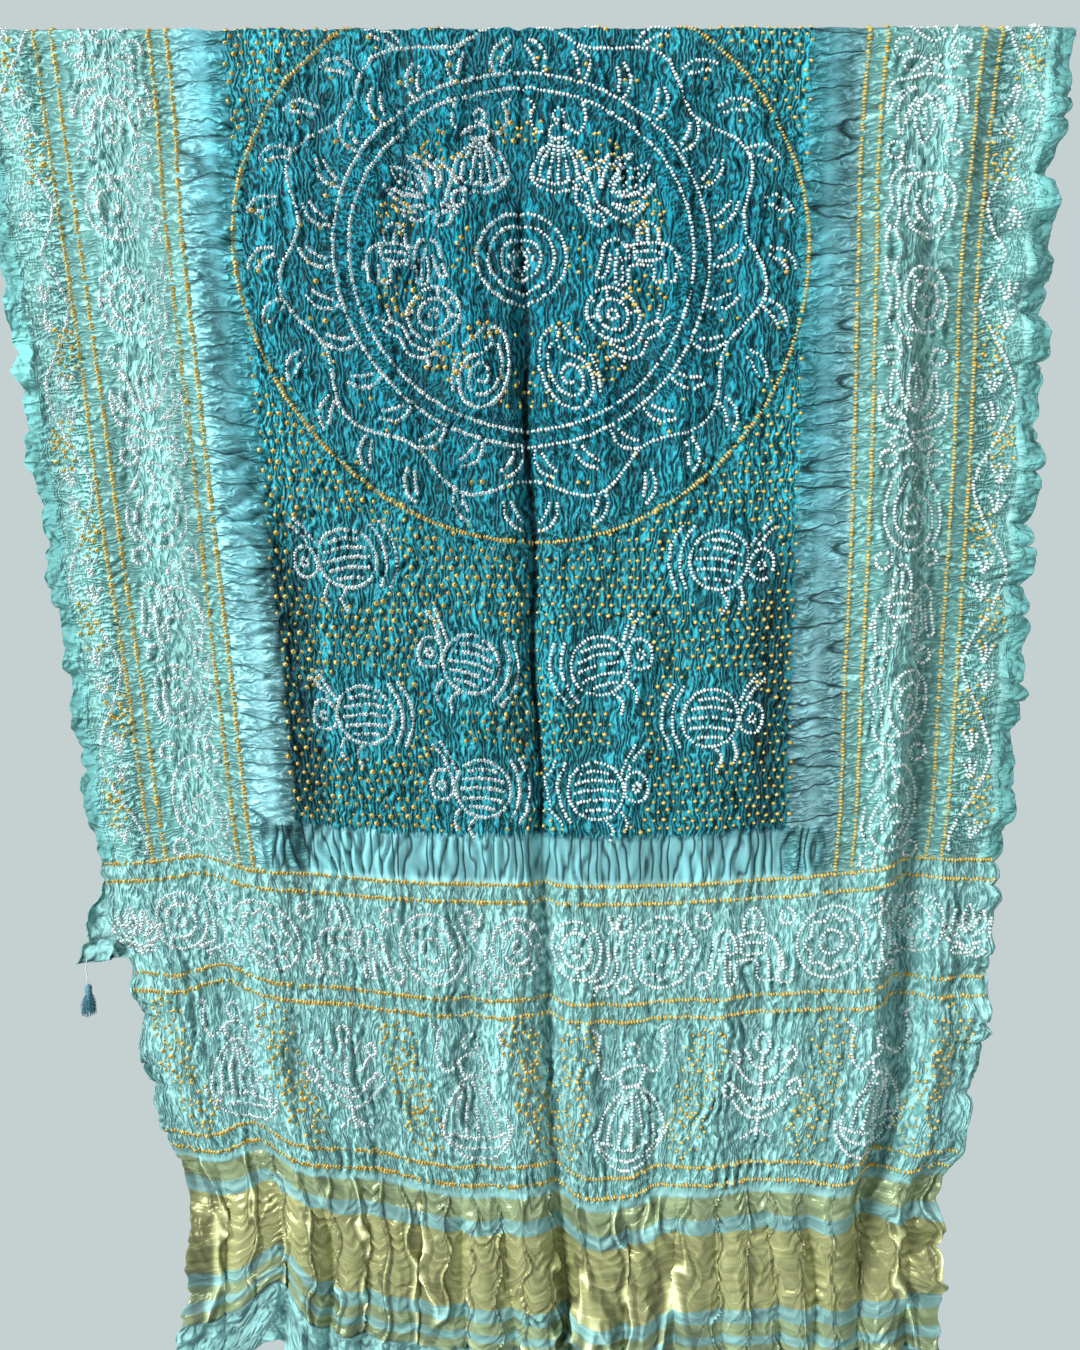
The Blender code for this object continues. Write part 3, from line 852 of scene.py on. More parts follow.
# How far dots stray in x, path and angle, the share that came off, and the bare rims
DOT_STRAY = (0.00030, 0.00030, 0.10)
DOTS_LOST = 0.025
HEM_GAP = 0.004
PATTERN_REACH = 0.4605


def tied_dots():
    """All dots as x, path and the angle of their line, which is about FILLER_TURN for the filler dots."""
    dice = np.random.default_rng(5)
    round_white, round_yellow = mandala_dots(dice)
    white, yellow = border_dots(dice)
    end_white, end_yellow = end_dots(dice)
    white += end_white
    yellow += end_yellow
    filler = field_dots(dice, white)
    found = {
        "white": np.concatenate((both_sides(round_white), both_ends(both_sides(white)))),
        "yellow": np.concatenate((both_sides(round_yellow), both_ends(both_sides(yellow + [filler])))),
    }
    for colour, dots in found.items():
        dots = dots + dice.normal(0, 1, dots.shape) * DOT_STRAY
        dots = dots[dice.uniform(size=len(dots)) > DOTS_LOST]
        dots[:, 1] += CENTRE
        inside = (dots[:, 1] < FRONT_HEM - HEM_GAP) & (dots[:, 1] > BACK_HEM + HEM_GAP)
        found[colour] = dots[inside & (np.abs(dots[:, 0]) < PATTERN_REACH)]
    return found


# How far a tie lifts the silk, and how many ties count at most at one point
TIE_LIFT = 0.0007
TIE_MOST = 1.3


class Sheet:
    """The draped silk as a grid of points, rows from the front hem over the crest to the back hem."""

    def __init__(self, dots):
        self.across = np.linspace(0.0, 1.0, COLUMNS + 1)
        front = np.linspace(FRONT_HEM, SEAM, FRONT_ROWS + 1)
        back = np.linspace(SEAM, BACK_HEM, BACK_ROWS + 1)[1:]
        self.path = np.concatenate((front, back))
        across, path = np.meshgrid(self.across, self.path)
        x = (across - 0.5) * WIDTH
        place = sheet_place(across, path)
        place[..., 0] += edge_frill(x, path)
        normal = self.normals(place)
        height = crinkle_relief(x, path)
        shape = height.shape
        for found in dots.values():
            rows, columns = self.cells(found[:, 0], found[:, 1])
            height += TIE_LIFT * np.minimum(splat(rows, columns, np.ones(len(rows)), shape), TIE_MOST)
        self.height = height
        self.slack = gold_folds(x, path)[1]
        self.place = place + normal * height[..., None]
        self.normal = self.normals(self.place)
        self.add_rolls()

    def cells(self, x, path):
        """Fractional row and column of places on the cloth."""
        rows = np.interp(-path, -self.path, np.arange(len(self.path)))
        return rows, (x / WIDTH + 0.5) * COLUMNS

    @staticmethod
    def normals(place):
        """Unit normals from the cross product of the grid's steps across and along."""
        aside = np.gradient(place, axis=1)
        upward = np.gradient(place, axis=0)
        normal = np.cross(aside, upward)
        return normal / np.linalg.norm(normal, axis=-1, keepdims=True)

    def read(self, x, path):
        """Place, normal and the two directions of the cloth at points on it."""
        rows, columns = self.cells(x, path)
        r = np.clip(rows.astype(int), 0, len(self.path) - 2)
        c = np.clip(columns.astype(int), 0, COLUMNS - 1)
        down = (rows - r)[:, None]
        over = (columns - c)[:, None]

        def blended(grid):
            upper = grid[r, c] * (1 - over) + grid[r, c + 1] * over
            lower = grid[r + 1, c] * (1 - over) + grid[r + 1, c + 1] * over
            return upper * (1 - down) + lower * down

        normal = blended(self.normal)
        normal /= np.linalg.norm(normal, axis=1, keepdims=True)
        aside = self.place[r, c + 1] - self.place[r, c]
        aside -= normal * np.sum(aside * normal, axis=1, keepdims=True)
        aside /= np.linalg.norm(aside, axis=1, keepdims=True)
        return blended(self.place), normal, aside, np.cross(aside, normal)

    def add_rolls(self):
        """Rolled hem: past the rim the sheet turns back on a circle, by sine outward and cosine inward."""
        steps = ROLL_STEP * np.arange(1, ROLL_STEPS + 1)
        beyond = steps / WIDTH
        self.full_across = np.concatenate((-beyond[::-1], self.across, 1 + beyond))
        self.full_path = np.concatenate((FRONT_HEM + steps[::-1], self.path, BACK_HEM - steps))
        rim = ((ROLL_STEPS, ROLL_STEPS), (ROLL_STEPS, ROLL_STEPS), (0, 0))
        place, normal = (np.pad(grid, rim, mode="edge") for grid in (self.place, self.normal))
        self.full_height = np.pad(self.height, rim[:2], mode="edge")
        self.full_slack = np.pad(self.slack, rim[:2], mode="edge")
        aside = np.pad(np.gradient(self.place, axis=1), rim, mode="edge")
        upward = np.pad(np.gradient(self.place, axis=0), rim, mode="edge")
        over_side = np.maximum(self.full_across - 1, 0) - np.maximum(-self.full_across, 0)
        over_end = np.maximum(BACK_HEM - self.full_path, 0) - np.maximum(self.full_path - FRONT_HEM, 0)
        for direction, over in ((aside, over_side[None, :] * WIDTH), (upward, over_end[:, None])):
            direction = direction / np.linalg.norm(direction, axis=-1, keepdims=True)
            turn = (over / ROLL_RADIUS)[..., None]
            place = place + ROLL_RADIUS * (direction * np.sin(turn) + normal * (np.cos(turn) - 1))
        self.full_place = place
        self.full_normal = self.normals(place)


def mesh_from(name, points, faces, sides):
    """A mesh from arrays of points and faces that all have the same number of sides."""
    mesh = bpy.data.meshes.new(name)
    mesh.vertices.add(len(points))
    mesh.vertices.foreach_set("co", np.asarray(points, np.float32).ravel())
    mesh.loops.add(faces.size)
    mesh.loops.foreach_set("vertex_index", faces.astype(np.int32).ravel())
    mesh.polygons.add(len(faces))
    mesh.polygons.foreach_set("loop_start", np.arange(len(faces), dtype=np.int32) * sides)
    mesh.update(calc_edges=True)
    mesh.validate()
    return mesh


def add_values(mesh, name, values):
    """One number at each of a mesh's points, for its material to read."""
    layer = mesh.attributes.new(name, "FLOAT", "POINT")
    layer.data.foreach_set("value", np.asarray(values, np.float32).ravel())


def add_piece(name, mesh, finish, node):
    """Link a mesh as a piece that rides on the root body in place of a CAD node."""
    mesh.materials.append(finish)
    piece = bpy.data.objects.new(name, mesh)
    bpy.context.scene.collection.objects.link(piece)
    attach(piece, "root")
    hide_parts(node)
    return piece


def cloth_panel(sheet, name, rows, columns, finish):
    """One panel of the sheet: its part of the grid, with a flat map in metres and one for baking."""
    chosen = np.ix_(rows, columns)
    place = sheet.full_place[chosen]
    tall, wide = place.shape[:2]
    number = np.arange(tall * wide).reshape(tall, wide)
    faces = np.stack((number[:-1, :-1], number[:-1, 1:], number[1:, 1:], number[1:, :-1]), -1).reshape(-1, 4)
    mesh = mesh_from(name, place.reshape(-1, 3), faces, 4)
    mesh.shade_smooth()
    across, path = np.meshgrid(sheet.full_across[columns], sheet.full_path[rows])
    flat = np.stack(((across - 0.5) * WIDTH, path), -1).reshape(-1, 2)
    low, high = path.min(), path.max()
    sides = sheet.full_across[[0, -1]]
    square = np.stack(((across - sides[0]) / (sides[1] - sides[0]), (path - low) / (high - low)), -1)
    for title, places in (("OFBake", 0.002 + 0.996 * square.reshape(-1, 2)), ("flat", flat)):
        layer = mesh.uv_layers.new(name=title)
        layer.uv.foreach_set("vector", places[faces.ravel()].astype(np.float32).ravel())
    add_values(mesh, "rise", sheet.full_height[chosen] * 1000)
    add_values(mesh, "slack", sheet.full_slack[chosen])
    mesh.normals_split_custom_set_from_vertices(sheet.full_normal[chosen].reshape(-1, 3))
    return add_piece(name, mesh, finish, "cloth")


def build_cloth(sheet, finish):
    """The sheet in four panels that share their border rows. The back one has every second column."""
    wide = len(sheet.full_across)
    every = np.arange(wide)
    inner = np.arange(ROLL_STEPS, wide - ROLL_STEPS)
    sparse = np.concatenate((every[:ROLL_STEPS], inner[::2], every[-ROLL_STEPS:]))
    last = len(sheet.full_path) - 1
    starts = [0]
    for end in PANEL_ENDS.values():
        starts.append(int(np.argmin(np.abs(sheet.full_path - end))))
    seam = starts[-1]
    skipped = inner[1::2]
    for grid in (sheet.full_place, sheet.full_normal):
        grid[seam, skipped] = (grid[seam, skipped - 1] + grid[seam, skipped + 1]) / 2
    plan = [(name, np.arange(starts[k], starts[k + 1] + 1), every) for k, name in enumerate(PANEL_ENDS)]
    plan.append(("cloth_back", np.arange(seam, last + 1), sparse))
    whole = FRONT_HEM - BACK_HEM
    panels = {}
    for name, rows, columns in plan:
        length = FLAT_CUT[1] * abs(sheet.full_path[rows[-1]] - sheet.full_path[rows[0]]) / whole
        panels[name] = (cloth_panel(sheet, name, rows, columns, finish), length)
    return panels


# Dots: sides, sizes in millimetres (half length across their line and along it, and height), the spread of
# those sizes, and how far the rims dip under the silk
DOT_SIDES = 5
DOT_SIZES = {"white": (2.34, 2.00, 1.6), "yellow": (2.75, 1.85, 1.7), "filler": (2.60, 2.40, 1.9)}
DOT_SPREAD = (0.80, 1.16)
DOT_DIP = 0.0002
# What the pinched points keep of those sizes, and the share of the height of a low dot and what a point adds
POINT_SLIM = (0.96, 0.80, 1.05)
LOW_HEIGHT = 0.70
POINT_HEIGHT = 0.50


def dot_mesh(sheet, name, dots, sizes, pointed):
    """Domes on the cloth: a ring of points just under the surface, an apex above, and a closed underside.

    Left of the middle line they are low, with a dark heart, and right of it they stand up as pinched points.
    """
    place, normal, aside, down = sheet.read(dots[:, 0], dots[:, 1])
    turn = np.linspace(0, 2 * math.pi, DOT_SIDES, endpoint=False)
    along = np.cos(dots[:, 2])[:, None] * aside + np.sin(dots[:, 2])[:, None] * down
    over = np.cross(normal, along)
    half_long, half_wide, height = (sizes[:, k][:, None] * 0.001 for k in range(3))
    ring = (place - normal * DOT_DIP)[:, None] + (
        (over * half_long)[:, None] * np.cos(turn)[None, :, None]
        + (along * half_wide)[:, None] * np.sin(turn)[None, :, None])
    apex = place + normal * height * (LOW_HEIGHT + POINT_HEIGHT * pointed)[:, None]
    points = np.concatenate((ring, apex[:, None]), 1)
    count = len(dots)
    first = np.arange(count)[:, None, None] * (DOT_SIDES + 1)
    step = np.arange(DOT_SIDES)
    after = (step + 1) % DOT_SIDES
    sides = np.stack((step, after, np.full(DOT_SIDES, DOT_SIDES)), -1)
    under = np.stack((np.zeros(DOT_SIDES - 2, int), step[2:], step[1:-1]), -1)
    faces = (first + np.concatenate((sides, under))[None]).reshape(-1, 3)
    mesh = mesh_from(name, points.reshape(-1, 3), faces, 3)
    mesh.shade_smooth()
    heart = np.zeros((count, DOT_SIDES + 1))
    heart[:, -1] = 1 - pointed
    add_values(mesh, "heart", heart)
    add_values(mesh, "tint", np.repeat(np.random.default_rng(31).uniform(size=count), DOT_SIDES + 1))
    return mesh


def build_dots(sheet, dots, finishes):
    """Dots of each colour on the front and on the back, as joined meshes that ride with their panel."""
    made = {}
    dice = np.random.default_rng(17)
    for colour, found in dots.items():
        large = np.abs(found[:, 2]) > FILLER_TURN - 1
        sizes = np.where(large[:, None], DOT_SIZES["filler"], DOT_SIZES[colour])
        pointed = ease(found[:, 0] / 0.01 + 0.5)
        sizes = sizes * dice.uniform(*DOT_SPREAD, (len(found), 1))
        sizes = sizes * (1 + (np.array(POINT_SLIM) - 1) * pointed[:, None])
        for side, chosen in (("front", found[:, 1] > SEAM), ("back", found[:, 1] <= SEAM)):
            name = f"{colour}_dots_{side}"
            mesh = dot_mesh(sheet, name, found[chosen], sizes[chosen], pointed[chosen])
            made[name] = add_piece(name, mesh, finishes[colour], "cloth")
    return made


def math_node(operation, turned=False):
    """Method that adds a Math node whose first value, or second where it is turned, is the number itself."""
    def add(number, other):
        first, second = (other, number) if turned else (number, other)
        return number.maker.number("ShaderNodeMath", {"operation": operation}, {0: first, 1: second})
    return add


class Wire:
    """A number in a material's nodes. Arithmetic on it adds Math nodes."""

    def __init__(self, maker, socket):
        self.maker = maker
        self.socket = socket

    __add__ = math_node("ADD")
    __radd__ = math_node("ADD", turned=True)
    __sub__ = math_node("SUBTRACT")
    __rsub__ = math_node("SUBTRACT", turned=True)
    __mul__ = math_node("MULTIPLY")
    __rmul__ = math_node("MULTIPLY", turned=True)
    __truediv__ = math_node("DIVIDE")
    __pow__ = math_node("POWER")


class Maker:
    """Lays out the nodes of one material."""

    def __init__(self, name):
        self.material = bpy.data.materials.new(name)
        self.material.use_nodes = True
        self.tree = self.material.node_tree
        self.tree.nodes.clear()

    def node(self, kind, settings=None, sockets=None):
        """Add a node: its settings first, then the values or links of its sockets."""
        made = self.tree.nodes.new(kind)
        for name, value in (settings or {}).items():
            setattr(made, name, value)
        for name, value in (sockets or {}).items():
            value = value.socket if isinstance(value, Wire) else value
            if isinstance(value, bpy.types.NodeSocket):
                self.tree.links.new(value, made.inputs[name])
            else:
                made.inputs[name].default_value = value
        return made

    def number(self, kind, settings=None, sockets=None, output=0):
        return Wire(self, self.node(kind, settings, sockets).outputs[output])

    def attribute(self, name):
        return self.number("ShaderNodeAttribute", {"attribute_name": name}, output="Fac")

    def vector(self, x, y, z=0.0):
        return self.node("ShaderNodeCombineXYZ", None, {0: x, 1: y, 2: z}).outputs[0]

    def sine(self, value):
        return self.number("ShaderNodeMath", {"operation": "SINE"}, {0: value})

    def size(self, value):
        return self.number("ShaderNodeMath", {"operation": "ABSOLUTE"}, {0: value})

    def step(self, value, low, high):
        """Smooth step from 0 at low to 1 at high."""
        limits = {"Value": value, "From Min": low, "From Max": high}
        return self.number("ShaderNodeMapRange", {"interpolation_type": "SMOOTHSTEP"}, limits)

    def within(self, value, low, high, soft):
        """1 between low and high, with a smooth step of the width soft over each border."""
        inward = self.step(value, low - soft / 2, low + soft / 2)
        return inward * (1 - self.step(value, high - soft / 2, high + soft / 2))

    def noise(self, place, detail=2.0, rough=0.5):
        """Noise between 0 and 1 with a feature about every unit of its place."""
        settings = {"noise_dimensions": "2D"}
        sockets = {"Vector": place, "Scale": 1.0, "Detail": detail, "Roughness": rough}
        return self.number("ShaderNodeTexNoise", settings, sockets)

    def blend(self, share, first, second):
        """Mix of two colours, given as colours or as sockets."""
        sockets = {0: share, 6: first, 7: second}
        return self.node("ShaderNodeMix", {"data_type": "RGBA"}, sockets).outputs[2]

    def scaled(self, colour, share):
        """A colour made darker or lighter by a number."""
        sockets = {0: colour, "Scale": share}
        return self.node("ShaderNodeVectorMath", {"operation": "SCALE"}, sockets).outputs[0]

    def tinted(self, colour, tint):
        """A colour times a constant colour."""
        return self.node("ShaderNodeVectorMath", {"operation": "MULTIPLY"}, {0: colour, 1: tint}).outputs[0]

    def bump(self, height):
        """Normal of a relief whose height is in metres."""
        sockets = {"Strength": 1.0, "Distance": 1.0, "Height": height}
        return self.node("ShaderNodeBump", None, sockets).outputs[0]

    def finish(self, sockets):
        shader = self.node("ShaderNodeBsdfPrincipled", None, sockets)
        self.node("ShaderNodeOutputMaterial", None, {0: shader.outputs[0]})
        return self.material


def paint(red, green, blue):
    """Linear colour from its three numbers out of 255 on a screen."""
    shares = [channel / 255 for channel in (red, green, blue)]
    linear = [s / 12.92 if s < 0.04045 else ((s + 0.055) / 1.055) ** 2.4 for s in shares]
    return (*linear, 1.0)


# Dyes and metals, and the gold's painted highlight, as their screen colours
DEEP_TEAL = paint(20, 126, 144)
FIELD_TEAL = paint(46, 147, 161)
STRIP_TEAL = paint(84, 172, 184)
STRIP_AQUA = paint(151, 209, 217)
BORDER_AQUA = paint(154, 212, 208)
END_AQUA = paint(158, 214, 212)
BAND_AQUA = paint(146, 196, 192)
PLAIN_AQUA = paint(148, 206, 204)
PLEAT_TEAL = paint(126, 194, 200)
EDGE_AQUA = paint(116, 188, 186)
OLIVE_GOLD = paint(180, 183, 128)
GREEN_GOLD = paint(160, 178, 136)
PAINTED_GOLD_HIGHLIGHT = paint(236, 236, 188)
# Painted shade in a valley: what it keeps of each channel of its dye
PAINTED_VALLEY_TINT = (0.24, 0.42, 0.41)

# Ripples of the silk: the measure they follow, their pitch, the repeats a metre across and along of the noise
# that sways them, by how many radians it does, and where it starts
RIPPLES = {
    "upright": ("x", 0.0054, 70.0, 40.0, 13.0, 0.0),
    "second": ("x", 0.0040, 90.0, 80.0, 12.0, 40.0),
    "level": ("path", 0.0044, 46.0, 80.0, 14.0, 0.0),
    "spokes": ("turn", 0.0400, 80.0, 80.0, 12.0, 0.0),
    "combs": ("path", 0.0080, 26.0, 50.0, 12.0, 0.0),
    "pinched": ("x", 0.0105, 40.0, 12.0, 11.0, 0.0),
    "strands": ("x", 0.0080, 60.0, 24.0, 20.0, 0.0),
}
# Facets of the plain ends: their repeats a metre and share of the crumple
FACETS = ((22.0, 1.0), (52.0, 0.5), (115.0, 0.25))
GOLD_SOFT = 0.0012


class SilkMaker(Maker):
    """Lays out the silk's nodes, and holds its measures: the pattern's, read from the flat map, and the
    height and slack of the crinkles, read from the mesh."""

    def __init__(self, name):
        super().__init__(name)
        place = self.node("ShaderNodeUVMap", {"uv_map": "flat"}).outputs[0]
        parts = self.node("ShaderNodeSeparateXYZ", None, {0: place}).outputs
        self.x = Wire(self, parts[0])
        self.path = Wire(self, parts[1])
        self.share = 0.5 - self.size(self.x) / WIDTH
        self.along = self.path - CENTRE
        self.v = self.size(self.along)
        rounded = self.vector(self.x, self.along * (1 / SQUASH))
        length = {"operation": "LENGTH"}
        self.reach = self.number("ShaderNodeVectorMath", length, {0: rounded}, output="Value")
        self.turn = self.number("ShaderNodeMath", {"operation": "ARCTAN2"}, {0: self.x, 1: self.along})
        self.right = self.step(self.x, -0.1, 0.1)
        self.rise = self.attribute("rise")
        self.slack = self.attribute("slack")
        self.blotch = self.cloud(15.0, 3.5, 3.0, 0.6)

    def cloud(self, across, down, detail=2.0, rough=0.5, start=0.0):
        """Noise on the pattern, with its repeats a metre across and along."""
        aside = self.x * across
        aside = aside + start if start else aside
        return self.noise(self.vector(aside, self.path * down), detail, rough)

    def ripples(self, measure, pitch, across, down, sway, start):
        """Parallel ripples of uneven run: sharp ridges where a sine, swayed by noise, crosses zero."""
        phase = getattr(self, measure) * (math.pi / pitch) + self.cloud(across, down, start=start) * sway
        return 1 - self.size(self.sine(phase))

    def ridges(self, place, width):
        """1 on the lines where a noise passes its middle, falling to 0 at a width on either side."""
        return 1 - self.step(self.size(self.noise(place, 0.0) - 0.5), 0.0, width)


def silk_zones(make):
    """How far a place lies in each zone of the silk, from 0 to 1."""
    share, v, within = make.share, make.v, make.within
    zones = SimpleNamespace()
    bleed = make.cloud(120.0, 120.0) - 0.5
    borders = 1 - make.step(v, ROWS[0] - 0.006, ROWS[0] + 0.006)
    zones.field = make.step(share + bleed * 0.010, FIELD_EDGE - 0.003, FIELD_EDGE + 0.004) * (
        1 - make.step(v + bleed * 0.008, FIELD_END - 0.004, FIELD_END + 0.004))
    rings = within(make.reach, 0.138, 0.178, 0.012) + within(make.reach, 0.242, 0.260, 0.008)
    zones.ringed = rings * zones.field
    beside_lines = (within(share, 0.050, 0.104, 0.020) + within(share, 0.146, 0.208, 0.020)
                    + within(share, 0.218, 0.240, 0.010))
    zones.combed = beside_lines * borders * (1 - zones.field)
    zones.open_field = zones.field * (1 - zones.ringed) * (1 - zones.combed)
    figures = within(share, 0.088, 0.164, 0.010) * borders
    zones.loose = (within(v, ROWS[0], 0.842, 0.010) + figures) * (1 - zones.combed)
    zones.vines = within(share, 0.012, 0.060, 0.010) * borders
    zones.strips = within(share, 0.186, 0.238, 0.006) * (1 - make.step(v, 0.50, 0.54))
    zones.edges = (1 - make.step(share, 0.014, 0.024)) * borders
    zones.pleats = within(v, FIELD_END, 0.549, 0.008) * make.step(share, 0.19, 0.21)
    zones.golds = within(v, 0.846, 0.996, 0.004)
    zones.plain = make.step(v, 0.994, 0.998)
    zones.crumpled = zones.open_field + zones.ringed + (zones.combed + zones.vines + zones.loose) * 0.80
    return zones


def silk_relief(make, zones):
    """Fine relief of the silk in metres, and the marks in it that its painted shade and highlights follow."""
    waves = {name: make.ripples(*row) for name, row in RIPPLES.items()}
    sway = (make.cloud(70.0, 70.0, 1.0) - 0.5) * 0.006
    marks = SimpleNamespace(pinched=waves["pinched"])
    marks.tucks = make.ridges(make.vector(make.x * 7.0, (make.path + sway) * 34.0), 0.026)
    marks.folded_gold = 1 - make.step(make.slack, 0.0, 0.16)
    hung = make.path + sway * 0.7 - make.slack * SWAG_DIP
    marks.swags = make.ridges(make.vector(make.x * 14.0, hung * 118.0), 0.15)
    marks.crumple = sum(make.size(make.cloud(pitch, pitch, 0.0) - 0.5) * part for pitch, part in FACETS)
    knots = zones.open_field + zones.loose + zones.vines + zones.ringed
    parts = (
        (0.0018, waves["upright"] * zones.open_field),
        (0.0015, waves["strands"] * zones.loose),
        (0.0007, waves["second"] * knots),
        (0.0013, waves["spokes"] * zones.ringed),
        (0.0013, waves["level"] * (zones.combed + zones.vines * 0.8)),
        (0.0010, waves["combs"] * (zones.strips + zones.edges)),
        (-0.0012, marks.tucks * zones.strips),
        (-0.0024, waves["pinched"] ** 2.0 * zones.pleats),
        (0.00034, marks.swags * zones.golds),
        (0.0016, marks.folded_gold * zones.golds),
        (0.030, marks.crumple * (zones.plain + zones.edges * 0.7)),
        (0.00018, make.cloud(420.0, 420.0)),
    )
    return sum(height * part for height, part in parts), marks


def silk_dyes(make, zones):
    """Colour of the dyed silk, zone by zone, with uneven uptake and painted light and shade on the strips."""
    dyed = make.blend(1 - make.step(make.reach, 0.15, 0.30), FIELD_TEAL, DEEP_TEAL)
    corners = make.step(make.reach, 0.245, 0.275) * (1 - make.step(make.v, 0.14, 0.28))
    dyed = make.scaled(dyed, 1 + 0.26 * corners)
    deeper = make.step(make.share, 0.170, 0.236) * (1 - make.step(make.v, 0.14, 0.40))
    # Painted light on the lower part of the left strip; the strips are darker on the right, partly their dye
    # and partly painted shade away from the light on the left
    painted_light_low_left = make.step(make.v, 0.18, 0.40) * (1 - make.right)
    strip = make.blend(deeper, STRIP_AQUA, STRIP_TEAL)
    strip = make.scaled(strip, (1.14 - 0.30 * make.right) + 0.64 * painted_light_low_left)
    colour = make.blend(make.step(make.share, 0.176, 0.196), BORDER_AQUA, strip)
    for zone, dye in (
        (make.step(make.v, 0.53, 0.56), END_AQUA),
        (make.step(make.v, 0.838, 0.850), BAND_AQUA),
        (make.step(make.v, 0.990, 1.0), PLAIN_AQUA),
        (zones.edges, EDGE_AQUA),
        (zones.pleats, PLEAT_TEAL),
        (zones.field, dyed),
    ):
        colour = make.blend(zone, colour, dye)
    streak = make.cloud(60.0, 14.0, 3.0, 0.6)
    return make.scaled(colour, 0.86 + 0.26 * make.blotch + 0.12 * (streak - 0.5))


def silk_gold(make):
    """Colour of the woven gold with a painted highlight on its highest folds, and its share at a place."""
    stripes = sum(make.within(make.v, low, high, GOLD_SOFT) for low, high in GOLD_BANDS)
    gold = make.blend(make.within(make.v, *GOLD_BANDS[1], GOLD_SOFT), GREEN_GOLD, OLIVE_GOLD)
    # Painted highlight: the gold turns pale where its folds stand highest
    gold = make.blend(make.step(make.rise, 3.0, 5.6) * 0.8, gold, PAINTED_GOLD_HIGHLIGHT)
    return make.scaled(gold, 0.90 + 0.36 * make.cloud(60.0, 1400.0, 1.0)), stripes


def silk_painted_shade(make, zones, marks, hollow):
    """Share of its colour that the silk shows: painted shade in valleys, tucks and creases, and painted
    highlights on ridges.
    """
    ridge = make.step(make.rise, -1.6, 2.4)
    # Painted shade in the troughs beside the field's side edges low on the front, where the dye is also
    # darker
    rim = (make.within(make.share, FIELD_EDGE - 0.006, FIELD_EDGE + 0.040, 0.024)
           * make.within(make.along, 0.24, 0.52, 0.10))
    # A thin line of painted shade down the crease of the middle line, deeper and patchy from 0.22 to 0.72
    # down the front
    line = make.x - CREASE_SWAY * make.sine(make.path * CREASE_TURNS)
    middle = 1 - make.step(make.size(line), 0.0004, 0.0024)
    painted_crease_shade = (make.within(make.path, 0.22, 0.72, 0.16) * 0.56 * make.step(make.blotch, 0.20, 0.50)
               + make.within(make.path, -0.6, 1.05, 0.10) * 0.28)
    return math.prod((
        # Painted highlights on the ridges and painted shade in the valleys, with a gain for the crumpled
        # zones and the field
        0.70 + 0.44 * ridge,
        1 + 0.24 * zones.crumpled + 0.27 * zones.field - 0.34 * hollow,
        1 - 0.70 * hollow * zones.field,
        # Painted shade in the pleats' creases, beside the field's edges and on the lower part of the back
        # fall
        1 - 0.70 * zones.pleats * make.step(marks.pinched, 0.40, 1.0),
        1 - 0.66 * rim,
        1 - 0.10 * make.step(-0.40 - make.path, 0.0, 0.30),
        # Painted shade between the gold's swags, painted highlights on its upright folds and painted shadows
        # beside them
        1 - 0.24 * zones.golds * (1 - marks.swags),
        1 + 0.50 * zones.golds * marks.folded_gold,
        1 - 0.46 * zones.golds * make.within(make.slack, 0.17, 0.44, 0.10),
        # Painted shade in the crumples of the plain ends, down the middle crease, and in the strips' tucks,
        # more on the right, away from the light
        1 - 0.5 * zones.plain * make.step(0.09 - marks.crumple, 0.0, 0.09),
        1 - middle * painted_crease_shade,
        1 - (0.45 + 0.25 * make.right) * marks.tucks * zones.strips,
    ))


def silk_finish():
    """Crinkled silk: dyed zones, woven gold bands, and fine ripples with painted shade in their valleys."""
    make = SilkMaker("crinkled_silk")
    zones = silk_zones(make)
    relief, marks = silk_relief(make, zones)
    gold, stripes = silk_gold(make)
    colour = make.blend(stripes, silk_dyes(make, zones), gold)
    # Painted shade: the valleys of the fine relief in the crinkled zones take a darker tint
    hollow = (1 - make.step(relief, 0.0001, 0.0014)) * zones.crumpled
    colour = make.blend(hollow, colour, make.tinted(colour, PAINTED_VALLEY_TINT))
    return make.finish({
        "Base Color": make.scaled(colour, silk_painted_shade(make, zones, marks, hollow)),
        "Metallic": stripes * 0.22,
        "Roughness": 0.50 - 0.16 * stripes + 0.06 * (make.blotch - 0.5),
        "Specular IOR Level": 0.18,
        "Sheen Weight": 0.03,
        "Sheen Roughness": 0.4,
        "Normal": make.bump(relief),
    })


def dot_finish(name, tie, dark, heart):
    """Tied dots: undyed or once-dyed silk, a little uneven, with a dark heart where they are low."""
    make = Maker(name)
    tint = make.attribute("tint")
    hollow = make.step(make.attribute("heart"), 0.50, 0.76)
    colour = make.blend(tint, dark, tie)
    colour = make.blend(hollow * 0.9, colour, heart)
    grain = make.noise(make.node("ShaderNodeTexCoord").outputs["Object"], 1.0)
    return make.finish({
        "Base Color": colour,
        "Roughness": 0.55 + 0.1 * grain,
        "Specular IOR Level": 0.3,
        "Normal": make.bump(hollow * -0.0006),
    })


def tube(path, radius, sides):
    """Tube round a path: at each point a ring in the plane across the path's direction."""
    path = np.asarray(path, float)
    ahead = np.gradient(path, axis=0)
    ahead /= np.linalg.norm(ahead, axis=1, keepdims=True)
    aside = np.cross(ahead, (0.0, 1.0, 0.001))
    aside /= np.linalg.norm(aside, axis=1, keepdims=True)
    over = np.cross(ahead, aside)
    turn = np.linspace(0, 2 * math.pi, sides, endpoint=False)
    reach = np.broadcast_to(radius, len(path))[:, None, None]
    rings = path[:, None] + reach * (
        aside[:, None] * np.cos(turn)[None, :, None] + over[:, None] * np.sin(turn)[None, :, None])
    return rings


